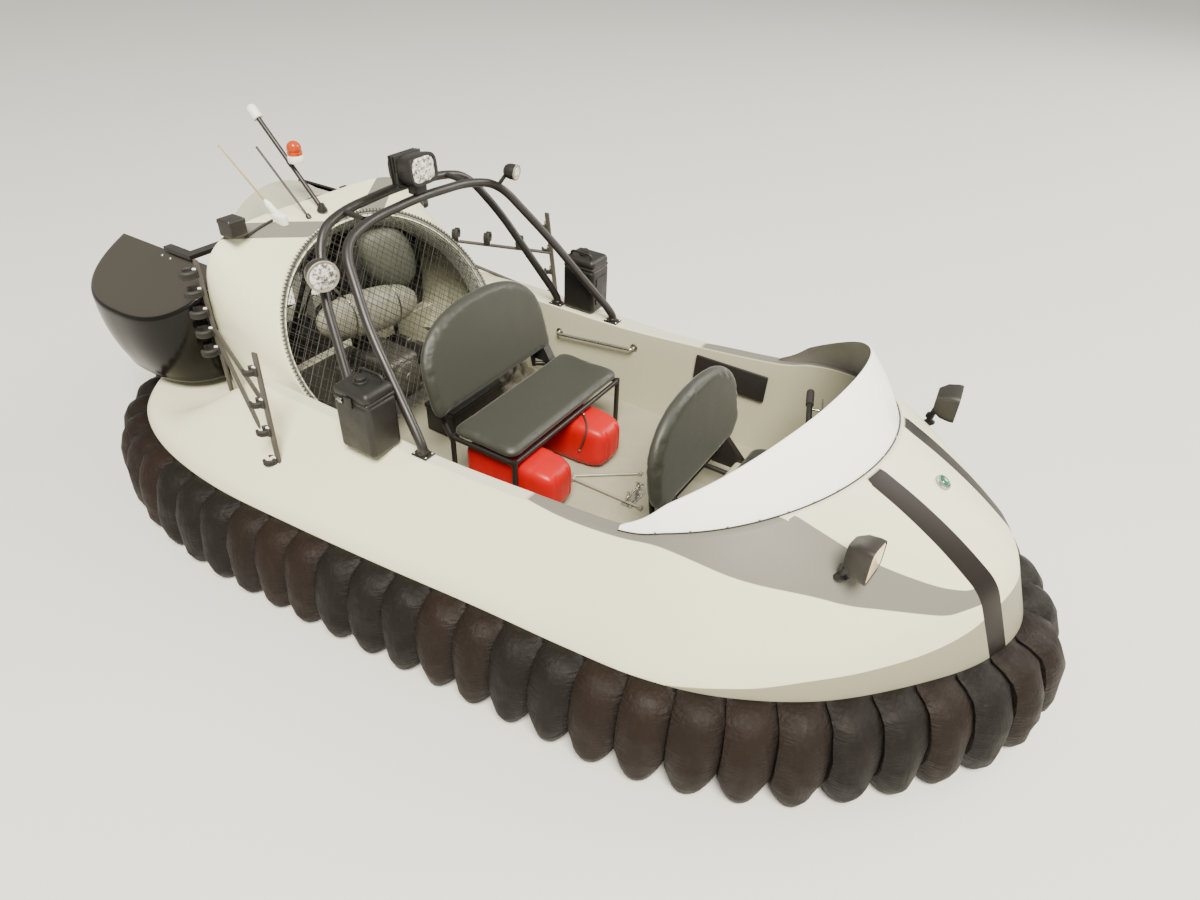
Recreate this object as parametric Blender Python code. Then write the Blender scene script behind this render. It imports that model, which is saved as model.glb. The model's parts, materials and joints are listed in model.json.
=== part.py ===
"""Light four-seat hovercraft, metres, +X to the bow, +Y to port, +Z up, ground at z = 0.

The hull is lofted in loops that run from the bow round to the stern. Everything else stands on
its coaming lip, its pan or its engine cowl.
"""
import math

import bmesh
import bpy
import numpy as np
from mathutils import Matrix, Vector
from mathutils.bvhtree import BVHTree

# Driving dimensions
touch = 0.0003            # gap between pieces that touch
bandZ = 0.362             # height of the line where skirt and deck meet
panTop = 0.22             # cockpit floor
panBottom = 0.14
panInset = 0.10
wallLean = 0.05           # cockpit wall, top to bottom
lipWidth = 0.06           # flat coaming
lipZ = 0.600              # coaming height amidships
lipLine = 0.68            # where hoop feet and rails stand
hoopRadius = 0.019
cowlRear = -1.38
cowlWall = 0.03
cowlFoot = 0.30           # lower end of the cowl inside the cockpit
rimHalf = 0.623           # inlet rim, half width, half height and centre
rimTall = 0.488
rimZ = 0.62
ductZ = 0.79
ductInner = 0.345
ductOuter = 0.360
ductRear = -1.66
fanX = -1.44
statorX = -1.50
rudderX = -1.60
postX = -1.210            # drive post behind the engine
bucketX = -1.775          # bucket pivots
bucketY = 0.52
bucketHalf = 0.38
bucketDeep = 0.33
bucketWall = 0.012
moving = 0.006            # clearance of what swings
bucketLow = 0.440
bucketHigh = 0.955
bucketSlope = 0.50        # how fast the lid drops outboard
fanBlades = 5
statorVanes = 6
mastX = -1.25
mastY = -0.07
fingerCount = 66
fingerGroove = 0.032      # how deep the seams between fingers lie
fingerSteps = (0.0, 0.20, 0.50, 0.80)
shieldEnd = 0.735         # how far aft the windscreen reaches
bowFlare = 0.2375         # how much further the bow fingers reach
netCell = 0.125
netBar = 0.008
sides = ((1, "port"), (-1, "starboard"))

# Hull stations from bow to stern, one side: skirt line x and y, how far in and how high the
# chine lies, and the outer edge of the coaming lip
hullStations = [
    # outX, outY, chineIn, chineZ, lipX, lipY, lipZ
    (1.962, 0.000, 0.094, 0.612, 1.400, 0.000, 0.878),
    (1.895, 0.235, 0.090, 0.600, 1.377, 0.184, 0.871),
    (1.740, 0.455, 0.080, 0.570, 1.310, 0.355, 0.850),
    (1.500, 0.700, 0.065, 0.520, 1.204, 0.502, 0.818),
    (1.230, 0.865, 0.050, 0.470, 1.065, 0.615, 0.774),
    (0.980, 0.945, 0.040, 0.435, 0.903, 0.686, 0.724),
    (0.720, 0.977, 0.035, 0.420, 0.730, 0.710, 0.670),
    (0.350, 1.005, 0.030, 0.420, 0.350, 0.710, 0.630),
    (-0.080, 1.046, 0.030, 0.420, -0.080, 0.710, 0.600),
    (-0.500, 1.078, 0.030, 0.420, -0.500, 0.710, 0.600),
    (-0.900, 1.096, 0.030, 0.420, -0.870, 0.710, 0.600),
    (-1.250, 1.062, 0.030, 0.415, -1.120, 0.710, 0.590),
    (-1.520, 0.982, 0.030, 0.405, -1.270, 0.690, 0.430),
    (-1.715, 0.860, 0.030, 0.400, -1.350, 0.580, 0.400),
    (-1.860, 0.660, 0.030, 0.400, -1.360, 0.380, 0.400),
    (-1.925, 0.340, 0.030, 0.400, -1.360, 0.190, 0.400),
    (-1.925, 0.000, 0.030, 0.400, -1.360, 0.000, 0.400),
]
stationSteps = 6

# Skirt section: how far out from the skirt line, and height
skirtSection = [
    (0.0003, 0.3617), (0.072, 0.366), (0.120, 0.325), (0.150, 0.235), (0.160, 0.130),
    (0.150, 0.045), (0.115, 0.000), (-0.0997, 0.000), (-0.0997, 0.2197), (0.0003, 0.2197),
]
# Skirt pieces: name, first and last finger, counted to port from the one at the bow's middle
skirtPieces = [
    ("skirt_bow", -7, 7), ("skirt_port", 8, 25), ("skirt_stern", 26, 40),
    ("skirt_starboard", 41, 58),
]

# Rudders: name, y and half the plate's height
rudders = [("rudder_port", 0.18, 0.25), ("rudder_center", 0.0, 0.31),
           ("rudder_starboard", -0.18, 0.25)]
# Fuel tanks: name and y
tanks = [("fuel_tank_port", 0.11), ("fuel_tank_starboard", -0.275)]

# Rack uprights: x, how far outboard, height of the top, and lean aft and inboard
rackUprights = [(-1.355, 0.662, 1.07, 0.0), (-0.670, 0.950, 0.96, 0.04)]
# Whip aerials: lean aft and outboard, and length
aerials = [(0.80, 0.22, 0.36), (0.62, 0.30, 0.30)]

colours = {
    "hull": (0.70, 0.68, 0.58), "pan": (0.38, 0.38, 0.35), "skirt": (0.045, 0.035, 0.030),
    "black": (0.022, 0.020, 0.018), "gloss": (0.012, 0.010, 0.009), "vinyl": (0.112, 0.117, 0.093),
    "red": (0.58, 0.010, 0.012), "white": (0.92, 0.92, 0.90), "lens": (0.80, 0.67, 0.46),
    "steel": (0.55, 0.55, 0.54), "orange": (1.0, 0.12, 0.01), "iron": (0.16, 0.15, 0.14),
    "shell": (0.11, 0.095, 0.08), "tank": (0.50, 0.50, 0.47),
}
finishes = {"gloss": (0.12, 0.0), "steel": (0.25, 1.0), "iron": (0.55, 0.7), "skirt": (0.75, 0.0)}

for old in list(bpy.data.objects):
    bpy.data.objects.remove(old, do_unlink=True)
parts = bpy.data.collections.new("hovercraft")
cutters = bpy.data.collections.new("hovercraft cutters")
bpy.context.scene.collection.children.link(parts)
bpy.context.scene.collection.children.link(cutters)


def material(name, look):
    """A Principled material of its own for each object."""
    made = bpy.data.materials.new(name)
    made.use_nodes = True
    shader = made.node_tree.nodes["Principled BSDF"]
    roughness, metallic = finishes.get(look, (0.45, 0.0))
    shader.inputs["Base Color"].default_value = (*colours[look], 1.0)
    shader.inputs["Roughness"].default_value = roughness
    shader.inputs["Metallic"].default_value = metallic
    made.diffuse_color = (*colours[look], 1.0)
    return made


def addObject(name, data, look):
    made = bpy.data.objects.new(name, data)
    parts.objects.link(made)
    data.materials.clear()
    data.materials.append(material(name, look))
    return made


def addMesh(name, verts, faces, look):
    data = bpy.data.meshes.new(name)
    data.from_pydata([tuple(v) for v in verts], [], [tuple(f) for f in faces])
    data.validate()
    tidy = bmesh.new()
    tidy.from_mesh(data)
    bmesh.ops.recalc_face_normals(tidy, faces=tidy.faces)
    tidy.to_mesh(data)
    tidy.free()
    return addObject(name, data, look)


def addBmesh(name, shape, look):
    bmesh.ops.recalc_face_normals(shape, faces=shape.faces)
    data = bpy.data.meshes.new(name)
    shape.to_mesh(data)
    shape.free()
    return addObject(name, data, look)


def loftFaces(rings, points, closed):
    """Triangles between rings of equal length; open lofts get their two ends capped."""
    faces = []
    for ring in range(rings if closed else rings - 1):
        ahead = (ring + 1) % rings
        for point in range(points):
            beside = (point + 1) % points
            a, b = ring * points + point, ring * points + beside
            c, d = ahead * points + beside, ahead * points + point
            faces += [(a, b, c), (a, c, d)]
    if not closed:
        faces.append(tuple(range(points)))
        faces.append(tuple((rings - 1) * points + p for p in reversed(range(points))))
    return faces


def loft(name, rings, look, closed=False):
    rings = [np.asarray(r, float) for r in rings]
    verts = np.concatenate(rings)
    return addMesh(name, verts, loftFaces(len(rings), len(rings[0]), closed), look)


def boxShape(shape, size, centre, turn=None, bevel=0.0):
    """Adds a box to a bmesh, with rounded edges when a bevel is given."""
    made = bmesh.ops.create_cube(shape, size=1.0)["verts"]
    bmesh.ops.scale(shape, vec=Vector(size), verts=made)
    if bevel:
        edges = list({e for v in made for e in v.link_edges})
        out = bmesh.ops.bevel(shape, geom=edges, offset=bevel, segments=2, affect="EDGES",
                              profile=0.5)
        made = list({v for f in out["faces"] for v in f.verts} | {v for v in made if v.is_valid})
    place = Matrix.Translation(Vector(centre)) @ (turn or Matrix.Identity(4))
    bmesh.ops.transform(shape, matrix=place, verts=made)
    return made


def rodShape(shape, start, end, radius, sides=12, endRadius=None):
    """Adds a capped cylinder or cone between two points to a bmesh."""
    start = Vector(start)
    end = Vector(end)
    along = end - start
    turn = Vector((0, 0, 1)).rotation_difference(along).to_matrix().to_4x4()
    place = Matrix.Translation((start + end) / 2) @ turn
    bmesh.ops.create_cone(shape, cap_ends=True, segments=sides, radius1=radius,
                          radius2=radius if endRadius is None else endRadius,
                          depth=along.length, matrix=place)


def addBox(name, size, centre, look, turn=None, bevel=0.0):
    shape = bmesh.new()
    boxShape(shape, size, centre, turn, bevel)
    return addBmesh(name, shape, look)


def addCurve(name, points, radius, look):
    """A round tube through points, as a POLY curve with filled caps."""
    data = bpy.data.curves.new(name, "CURVE")
    data.dimensions = "3D"
    data.bevel_depth = radius
    data.bevel_resolution = 2
    data.use_fill_caps = True
    spline = data.splines.new("POLY")
    spline.points.add(len(points) - 1)
    for spot, co in zip(spline.points, points):
        spot.co = (*co, 1.0)
    return addObject(name, data, look)


def asMesh(made):
    """Makes a curve a mesh and welds its caps."""
    bpy.context.view_layer.update()
    name = made.name
    data = bpy.data.meshes.new_from_object(made.evaluated_get(
        bpy.context.evaluated_depsgraph_get()))
    shape = bmesh.new()
    shape.from_mesh(data)
    bmesh.ops.remove_doubles(shape, verts=shape.verts, dist=0.00001)
    shape.to_mesh(data)
    shape.free()
    place = made.matrix_world.copy()
    bpy.data.objects.remove(made, do_unlink=True)
    meshed = bpy.data.objects.new(name, data)
    meshed.matrix_world = place
    parts.objects.link(meshed)
    return meshed


def addRod(name, start, end, radius, look, sides=12, endRadius=None):
    shape = bmesh.new()
    rodShape(shape, start, end, radius, sides, endRadius)
    return addBmesh(name, shape, look)


def setOrigin(made, spot):
    """Moves an object's origin onto its joint, leaving its shape where it is."""
    made.data.transform(Matrix.Translation(-Vector(spot)))
    made.location = spot
    return made


def cutterFrom(made):
    parts.objects.unlink(made)
    cutters.objects.link(made)
    made.hide_render = True
    made.display_type = "WIRE"
    return made


def boolean(target, tool, operation):
    step = target.modifiers.new(operation.lower(), "BOOLEAN")
    step.operation = operation
    step.solver = "EXACT"
    step.object = tool
    return target


def topOf(made, x, y, reach=0.0):
    """Highest point of a finished piece's top surface within reach of a plan point."""
    bpy.context.view_layer.update()
    tree = BVHTree.FromObject(made, bpy.context.evaluated_depsgraph_get())
    spots = [(x, y)]
    for k in range(8):
        angle = math.pi * k / 4
        spots.append((x + reach * math.cos(angle), y + reach * math.sin(angle)))
    hits = [tree.ray_cast(Vector((*spot, 3.0)), Vector((0, 0, -1)))[0] for spot in spots]
    return max(hit.z for hit in hits if hit)


def settle(made, carrier, way):
    """Moves a piece straight towards its carrier until the two all but touch."""
    bpy.context.view_layer.update()
    graph = bpy.context.evaluated_depsgraph_get()
    way = Vector(way).normalized()
    gaps = []
    for body, other, course in ((made, carrier, way), (carrier, made, -way)):
        tree = BVHTree.FromObject(other, graph)
        live = body.evaluated_get(graph)
        hits = [tree.ray_cast(v.co, course) for v in live.to_mesh().vertices]
        gaps += [hit[3] for hit in hits if hit[0]]
        live.to_mesh_clear()
    shift = way * (min(gaps) - touch)
    for moved in [made] + [step.object for step in made.modifiers]:
        moved.location = moved.location + shift


def rounded(points, radius, steps=4):
    """Replaces each inner corner of a polyline by an arc-like run of points."""
    points = [Vector(p) for p in points]
    out = [points[0]]
    for before, corner, after in zip(points, points[1:], points[2:]):
        start = corner + (before - corner) * min(0.45, radius / (before - corner).length)
        end = corner + (after - corner) * min(0.45, radius / (after - corner).length)
        for step in range(steps + 1):
            t = step / steps
            out.append(start * (1 - t) ** 2 + corner * 2 * t * (1 - t) + end * t ** 2)
    out.append(points[-1])
    return out


def nearestOn(points, spot):
    """The point of a polyline that lies nearest to a spot."""
    best = None
    for start, end in zip(points, points[1:]):
        along = end - start
        share = max(0.0, min(1.0, (spot - start).dot(along) / along.length_squared))
        found = start + along * share
        if best is None or (found - spot).length < (best - spot).length:
            best = found
    return best


def mirrored(points):
    """A left-right symmetric polyline from its port half, foot first and centre last."""
    return list(points) + [Vector((p[0], -p[1], p[2])) for p in reversed(points[:-1])]


def through(rows, steps):
    """Catmull-Rom curve through the rows of a table, a number of steps per span."""
    rows = np.asarray(rows, float)
    padded = np.vstack([2 * rows[0] - rows[1], rows, 2 * rows[-1] - rows[-2]])
    out = []
    for k in range(len(rows) - 1):
        a, b, c, d = padded[k:k + 4]
        for step in range(steps):
            t = step / steps
            out.append(0.5 * (2 * b + (c - a) * t + (2 * a - 5 * b + 4 * c - d) * t ** 2
                              + (3 * b - a - 3 * c + d) * t ** 3))
    out.append(rows[-1])
    return np.array(out)


def hullLoops():
    """The station table, smoothed, mirrored and closed, two steps to a finger, with normals."""
    table = np.array(hullStations)
    mirrorStart = table[1:2] * [1, -1, 1, 1, 1, -1, 1]
    mirrorEnd = table[-2:-1] * [1, -1, 1, 1, 1, -1, 1]
    wide = through(np.vstack([mirrorStart, table, mirrorEnd]), stationSteps)
    half = wide[stationSteps:-stationSteps]
    half[0, [1, 5]] = 0
    half[-1, [1, 5]] = 0
    run = np.concatenate([[0], np.cumsum(np.linalg.norm(np.diff(half[:, :2], axis=0), axis=1))])
    even = np.linspace(0, run[-1], fingerCount + 1)
    half = np.column_stack([np.interp(even, run, column) for column in half.T])
    full = np.vstack([half, half[-2:0:-1] * [1, -1, 1, 1, 1, -1, 1]])

    def normals(loop):
        run = np.roll(loop, -1, 0) - np.roll(loop, 1, 0)
        out = np.stack([run[:, 1], -run[:, 0]], 1)
        out /= np.linalg.norm(out, axis=1)[:, None]
        return out

    return full, normals(full[:, 0:2]), normals(full[:, 4:6])


loops, outNormals, lipNormals = hullLoops()


def at(flat, height):
    """Joins plan points and heights into 3-D points."""
    return np.column_stack([flat, np.broadcast_to(height, len(flat))])


def deckRings(lift=0.0):
    """Loops of the deck moulding, from the bottom of its outer side to its lip."""
    out = loops[:, 0:2]
    lip = loops[:, 4:6]
    chine = out - outNormals * loops[:, 2:3]
    rings = [at(out, panTop + touch), at(out, bandZ + lift), at(chine, loops[:, 3] + lift)]
    for share, crown in ((0.33, 0.022), (0.67, 0.020)):
        rise = loops[:, 6] - loops[:, 3]
        height = loops[:, 3] + rise * share + crown * np.clip(rise / 0.15, 0, 1) + lift
        rings.append(at(chine * (1 - share) + lip * share, height))
    rings.append(at(lip, loops[:, 6] + lift))
    return rings


def makeHull():
    out = loops[:, 0:2]
    lip = loops[:, 4:6]
    inner = lip - lipNormals * lipWidth
    foot = lip - lipNormals * (lipWidth + wallLean)
    rings = deckRings()
    rings.append(at(inner, loops[:, 6]))
    rings.append(at(foot, panTop + touch))
    deck = loft("deck", rings, "hull", closed=True)
    deck.data.shade_smooth()
    deck.data.set_sharp_from_angle(angle=math.radians(35))
    pan = out - outNormals * panInset
    floor = loft("hull_pan", [at(pan, panBottom), at(pan, panTop)], "pan")
    for y in (-0.45, 0.0, 0.45):
        skid = addBox("landing skid", (2.2, 0.06, 0.06), (-0.1, y, panBottom - 0.02), "black")
        boolean(floor, cutterFrom(skid), "UNION")
    return deck


def fingerStations():
    """Points all round the skirt line, four to a finger, with how full the skirt is at each."""
    line = np.vstack([loops[:, 0:2], loops[:1, 0:2]])
    run = np.concatenate([[0], np.cumsum(np.linalg.norm(np.diff(line, axis=0), axis=1))])
    normal = np.vstack([outNormals, outNormals[:1]])
    pitch = run[-1] / fingerCount
    steps = np.array([(finger + step - 0.5) * pitch
                      for finger in range(fingerCount) for step in fingerSteps])
    steps = np.mod(steps, run[-1])
    spots = np.column_stack([np.interp(steps, run, line[:, k]) for k in (0, 1)])
    out = np.column_stack([np.interp(steps, run, normal[:, k]) for k in (0, 1)])
    across = np.tile(np.array(fingerSteps) * 2 - 1, fingerCount)
    return spots, out, np.sqrt(1 - across ** 2)


def makeSkirt():
    """Four runs of the bag-and-finger skirt, each a closed solid under the skirt line."""
    spots, out, full = fingerStations()
    section = np.array(skirtSection)
    outside = section[:, 0] > 0.01
    perFinger = len(fingerSteps)
    for name, first, last in skirtPieces:
        rings = []
        for k in range(first * perFinger, (last + 1) * perFinger + 1):
            k = k % len(spots)
            bow = 1 + bowFlare * min(max((spots[k, 0] - 1.2) / 0.76, 0), 1)
            less = fingerGroove * (1 - full[k])
            reach = np.where(outside, section[:, 0] * bow - less, section[:, 0])
            low = outside & (section[:, 1] < 0.1)
            height = section[:, 1] + np.where(low, 1.3 * less, 0)
            rings.append(np.column_stack([spots[k] + reach[:, None] * out[k], height]))
        for end, other in ((0, 1), (-1, -2)):
            ahead = rings[other] - rings[end]
            rings[end] = rings[end] + touch * 0.5 * ahead / np.linalg.norm(ahead, axis=1)[:, None]
        loft(name, rings, "skirt")


def oval(halfWidth, halfHeight, power, count):
    """Points of a superellipse in the y-z plane, from port round over the top."""
    angle = np.linspace(0, 2 * math.pi, count, endpoint=False)
    y = np.sign(np.cos(angle)) * np.abs(np.cos(angle)) ** (2 / power) * halfWidth
    z = np.sign(np.sin(angle)) * np.abs(np.sin(angle)) ** (2 / power) * halfHeight
    return y, z


def rimX(z):
    """The inlet rim lies in a plane that leans aft as it rises."""
    return -0.90 - 0.58 * (z - 0.60)


def cowlRing(part, inset, count):
    """A ring of the cowl: the inlet rim, the shoulder or the square rear end."""
    # half width, half height, power, centre height, x at z = 0.6, rake and flare at the foot
    wide, high, power, centre, x, rake, flare = [
        (rimHalf, rimTall, 2.0, rimZ, -0.90, 0.58, 0.0),
        (0.650, 0.510, 2.8, 0.630, -1.16, 0.25, 0.05),
        (0.635, 0.450, 5.0, 0.700, cowlRear, 0.0, 0.0),
    ][part]
    y, z = oval(wide - inset, high - inset, power, count)
    z = z + centre
    y = y + np.sign(y) * flare * np.clip((0.72 - z) / 0.14, 0, 1) ** 2
    place = x - rake * (z - 0.60) + (inset if part == 2 else 0)
    return np.column_stack([place, y, z])


def makeCowl():
    """Engine cowl: oval inlet rim in front, squarer rear end, bulkhead round the duct."""
    count = 48
    rings = [cowlRing(part, 0.0, count) for part in (0, 1, 2)]
    y, z = oval(ductInner, ductInner, 2, count)
    for x in (cowlRear, cowlRear + cowlWall):
        rings.append(np.column_stack([np.full(count, x), y, z + ductZ]))
    rings += [cowlRing(part, cowlWall, count) for part in (2, 1, 0)]
    cowl = loft("engine_cowl", rings, "hull", closed=True)
    cap = deckRings(lift=touch)
    cap[0][:, 2] = 0.1
    lip = loops[:, 4:6]
    cap.append(at(lip - lipNormals * (lipWidth + touch), loops[:, 6] + touch))
    for height in (panTop + touch, 0.1):
        cap.append(at(lip - lipNormals * (lipWidth + wallLean + touch), height))
    tool = loft("deck cutter", cap, "hull")
    boolean(cowl, cutterFrom(tool), "DIFFERENCE")
    well = addBox("cockpit cutter", (1.0, 1.6, 0.6), (-0.85, 0.0, cowlFoot - 0.3), "hull")
    boolean(cowl, cutterFrom(well), "DIFFERENCE")
    angle = np.linspace(0, 2 * math.pi, 48, endpoint=False)
    ring = []
    for x, radius in ((cowlRear - touch, ductOuter), (ductRear, ductOuter),
                      (ductRear, ductInner), (cowlRear - touch, ductInner)):
        ring.append(np.column_stack([np.full(48, x), radius * np.cos(angle),
                                     ductZ + radius * np.sin(angle)]))
    loft("fan_duct", ring, "hull", closed=True)
    return cowl


def makeNet():
    """Guard across the inlet: a thin plate on the rim, with a diamond mesh cut through it."""
    depth = 0.003
    lean = math.atan(0.58)
    ahead = (depth + 2 * touch) / math.cos(lean)
    place = (Matrix.Translation(Vector((rimX(rimZ) + ahead, 0.0, rimZ)))
             @ Matrix.Rotation(-lean, 4, "Y"))
    slant = rimTall / math.cos(lean)
    angle = np.linspace(0, 2 * math.pi, 64, endpoint=False)
    wide = rimHalf - 0.012
    high = slant - 0.012
    rings = [np.column_stack([np.full(64, x), wide * np.cos(angle), high * np.sin(angle)])
             for x in (-depth, depth)]
    net = loft("inlet_guard", rings, "black")
    net.data.transform(place)
    shape = bmesh.new()
    half = netCell / 2 - netBar * 0.7
    rows = int(slant / netCell) + 1
    for row in range(-2 * rows, 2 * rows + 1):
        for column in range(-2 * rows, 2 * rows + 1):
            y = (column + (row % 2) / 2) * netCell
            z = row * netCell / 2
            corner = math.hypot((abs(y) + half) / (wide - 0.02), (abs(z) + half) / (high - 0.02))
            if corner > 1.03 or (row % 2 == 0 and column > 2 * rows):
                continue
            hole = boxShape(shape, (0.03, half * math.sqrt(2), half * math.sqrt(2)), (0, 0, 0),
                            Matrix.Rotation(math.pi / 4, 4, "X"))
            bmesh.ops.translate(shape, vec=(0, y, z), verts=hole)
    holes = addBmesh("net holes", shape, "black")
    holes.data.transform(place)
    boolean(net, cutterFrom(holes), "DIFFERENCE")
    well = addBox("net foot", (1.0, 1.6, 0.6), (-0.75, 0.0, cowlFoot - 0.3), "hull")
    boolean(net, cutterFrom(well), "DIFFERENCE")


def makeCage(deck):
    """Two roll hoops on the coaming with their links, the lamps on them and the side boxes."""
    front = [(-0.46, 0.58, 0.99), (-0.665, 0.47, 1.235), (-0.700, 0.30, 1.275),
             (-0.703, 0.0, 1.289)]
    rear = [(-0.727, 0.55, 1.06), (-0.822, 0.44, 1.245), (-0.838, 0.30, 1.285),
            (-0.842, 0.0, 1.300)]
    hoops = []
    for name, path, x in (("roll_hoop_front", front, -0.146), ("roll_hoop_rear", rear, -0.480)):
        foot = topOf(deck, x, lipLine, hoopRadius) + touch
        path[0:0] = [(x, lipLine, foot), (x, lipLine, foot + 0.04)]
        half = rounded(path[:-1], 0.06) + [Vector(path[-1])]
        hoops.append(addCurve(name, mirrored(half), hoopRadius, "black"))
    for side, name in sides:
        addRod("hoop_link_" + name, (-0.7200, side * 0.30, 1.2760),
               (-0.8182, side * 0.30, 1.2836), 0.012, "black")
    base = 1.289 + hoopRadius + touch
    stand = addRod("spotlight", (-0.703, 0.0, base), (-0.703, 0.0, base + 0.07), 0.018, "black")
    shell = addBox("lamp shell", (0.15, 0.16, 0.13), (-0.735, 0.0, base + 0.115), "black",
                   Matrix.Rotation(-0.10, 4, "Y"), 0.025)
    boolean(stand, cutterFrom(shell), "UNION")
    # Lamps: name, the hoop half they hang on and its side, back and front of the shell, radius
    for name, hoop, path, side, back, face, radius in (
            ("round_lamp", 1, rear, -1, (-0.720, -0.565, 1.157), (-0.655, -0.590, 1.155), 0.062),
            ("corner_lamp", 0, front, 1, (-0.635, 0.485, 1.297), (-0.575, 0.497, 1.292), 0.036)):
        lamp = addRod(name, back, face, radius, "black", 20)
        middle = Vector(back).lerp(Vector(face), 0.3)
        bends = [Vector((p[0], p[1] * side, p[2])) for p in rounded(path[:-1], 0.06)]
        seat = nearestOn(bends, middle)
        along = (middle - seat).normalized()
        arm = addRod("lamp arm", seat + along * (hoopRadius + 3 * touch), middle, 0.009, "black")
        boolean(lamp, cutterFrom(arm), "UNION")
        settle(lamp, hoops[hoop], -along)
    for side, name in sides:
        addBox("side_box_" + name, (0.18, 0.15, 0.28), (-0.35, side * 0.742, lipZ + touch + 0.14),
               "black", bevel=0.02)


def makeDrive():
    """Engine block, drive post, silencer, fan, stator and rudders along the duct's axis."""
    top = 0.52
    floor = panTop + touch
    block = addBox("engine_block", (0.34, 0.46, top - floor), (-1.065, 0.0, (top + floor) / 2),
                   "iron", bevel=0.02)
    post = addBox("drive post", (0.09, 0.14, 0.42), (postX, 0.0, ductZ - 0.14), "iron", bevel=0.01)
    boolean(block, cutterFrom(post), "UNION")
    shape = bmesh.new()
    bmesh.ops.create_uvsphere(shape, u_segments=24, v_segments=12, radius=1.0)
    bmesh.ops.transform(shape, matrix=Matrix.Translation((-1.075, -0.04, top + touch + 0.150))
                        @ Matrix.Diagonal((0.085, 0.30, 0.150, 1)), verts=shape.verts)
    addBmesh("silencer", shape, "tank")
    hub = addRod("fan", (fanX - 0.05, 0, ductZ), (fanX + 0.05, 0, ductZ), 0.07, "black", 24)
    for k in range(fanBlades):
        blade = bmesh.new()
        boxShape(blade, (0.012, 0.085, ductInner - 0.065), (0, 0, ductInner / 2 + 0.025))
        turn = Matrix.Rotation(2 * math.pi * k / fanBlades, 4, "X")
        twist = Matrix.Rotation(math.radians(32), 4, "Z")
        bmesh.ops.transform(blade, matrix=turn @ twist, verts=blade.verts)
        bmesh.ops.translate(blade, vec=(fanX, 0, ductZ), verts=blade.verts)
        boolean(hub, cutterFrom(addBmesh("fan blade", blade, "black")), "UNION")
    shaft = addRod("fan shaft", (fanX, 0, ductZ), (postX - 0.0455, 0, ductZ), 0.020, "steel", 16)
    boolean(hub, cutterFrom(shaft), "UNION")
    boss = addRod("stator", (statorX - 0.025, 0, ductZ), (statorX + 0.004, 0, ductZ), 0.07, "black",
                  24)
    for k in range(statorVanes):
        vane = bmesh.new()
        boxShape(vane, (0.026, 0.008, ductInner - 0.046), (0, 0, (ductInner + 0.044) / 2))
        turn = Matrix.Rotation(2 * math.pi * (k + 0.5) / statorVanes, 4, "X")
        bmesh.ops.transform(vane, matrix=turn, verts=vane.verts)
        bmesh.ops.translate(vane, vec=(statorX - 0.010, 0, ductZ), verts=vane.verts)
        boolean(boss, cutterFrom(addBmesh("vane", vane, "black")), "UNION")
    for name, y, half in rudders:
        reach = math.sqrt((ductInner * 0.9975) ** 2 - (abs(y) + 0.006) ** 2) - touch
        rudder = addRod(name, (rudderX, y, ductZ - reach), (rudderX, y, ductZ + reach), 0.006,
                        "steel")
        plate = addBox("rudder plate", (0.15, 0.008, 2 * half), (rudderX - 0.01, y, ductZ), "black")
        boolean(rudder, cutterFrom(plate), "UNION")
        setOrigin(rudder, (rudderX, y, ductZ))


def bucketOutline(inset, deep):
    """Plan of a bucket, flat side inboard: x, and how far outboard of the flat side."""
    angle = np.linspace(0, math.pi, 25)
    x = np.sign(np.cos(angle)) * np.abs(np.cos(angle)) ** (2 / 2.6) * (bucketHalf - inset)
    out = np.abs(np.sin(angle)) ** (2 / 2.6) * (deep - inset)
    return x, out


def makeBuckets():
    """Reversing buckets: half drums with a sloped top, open inboard, on upright pins."""
    for side, name in sides:
        rings = []
        for inset, low, high in ((0.0, bucketLow, bucketHigh),
                                 (bucketWall, bucketLow + bucketWall, bucketHigh - bucketWall)):
            x, out = bucketOutline(inset, bucketDeep)
            if inset:
                out = out - 0.002
            flat = np.column_stack([bucketX + x, side * (bucketY + out)])
            top = high - bucketSlope * out
            rings.append((flat, np.full(len(x), low), top))
        verts = []
        for flat, low, top in rings:
            verts += [np.column_stack([flat, low]), np.column_stack([flat, top])]
        shape = addMesh("bucket_" + name, np.vstack(verts), bucketFaces(len(verts[0])), "gloss")
        setOrigin(shape, (bucketX, side * bucketY, bucketLow))


def bucketFaces(count):
    """Skin of a tray on its side: outer wall, floor and lid, inner wall, and the open edge."""
    a, b, c, d = 0, count, 2 * count, 3 * count
    faces = []
    for k in range(count - 1):
        faces.append((a + k, a + k + 1, b + k + 1, b + k))
        faces.append((c + k, d + k, d + k + 1, c + k + 1))
    for low in (a, b, c, d):
        faces.append(tuple(range(low, low + count)))
    last = count - 1
    faces.append((a, a + last, c + last, c))
    faces.append((b, b + last, d + last, d))
    faces.append((a, b, d, c))
    faces.append((a + last, b + last, d + last, c + last))
    return faces


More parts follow.
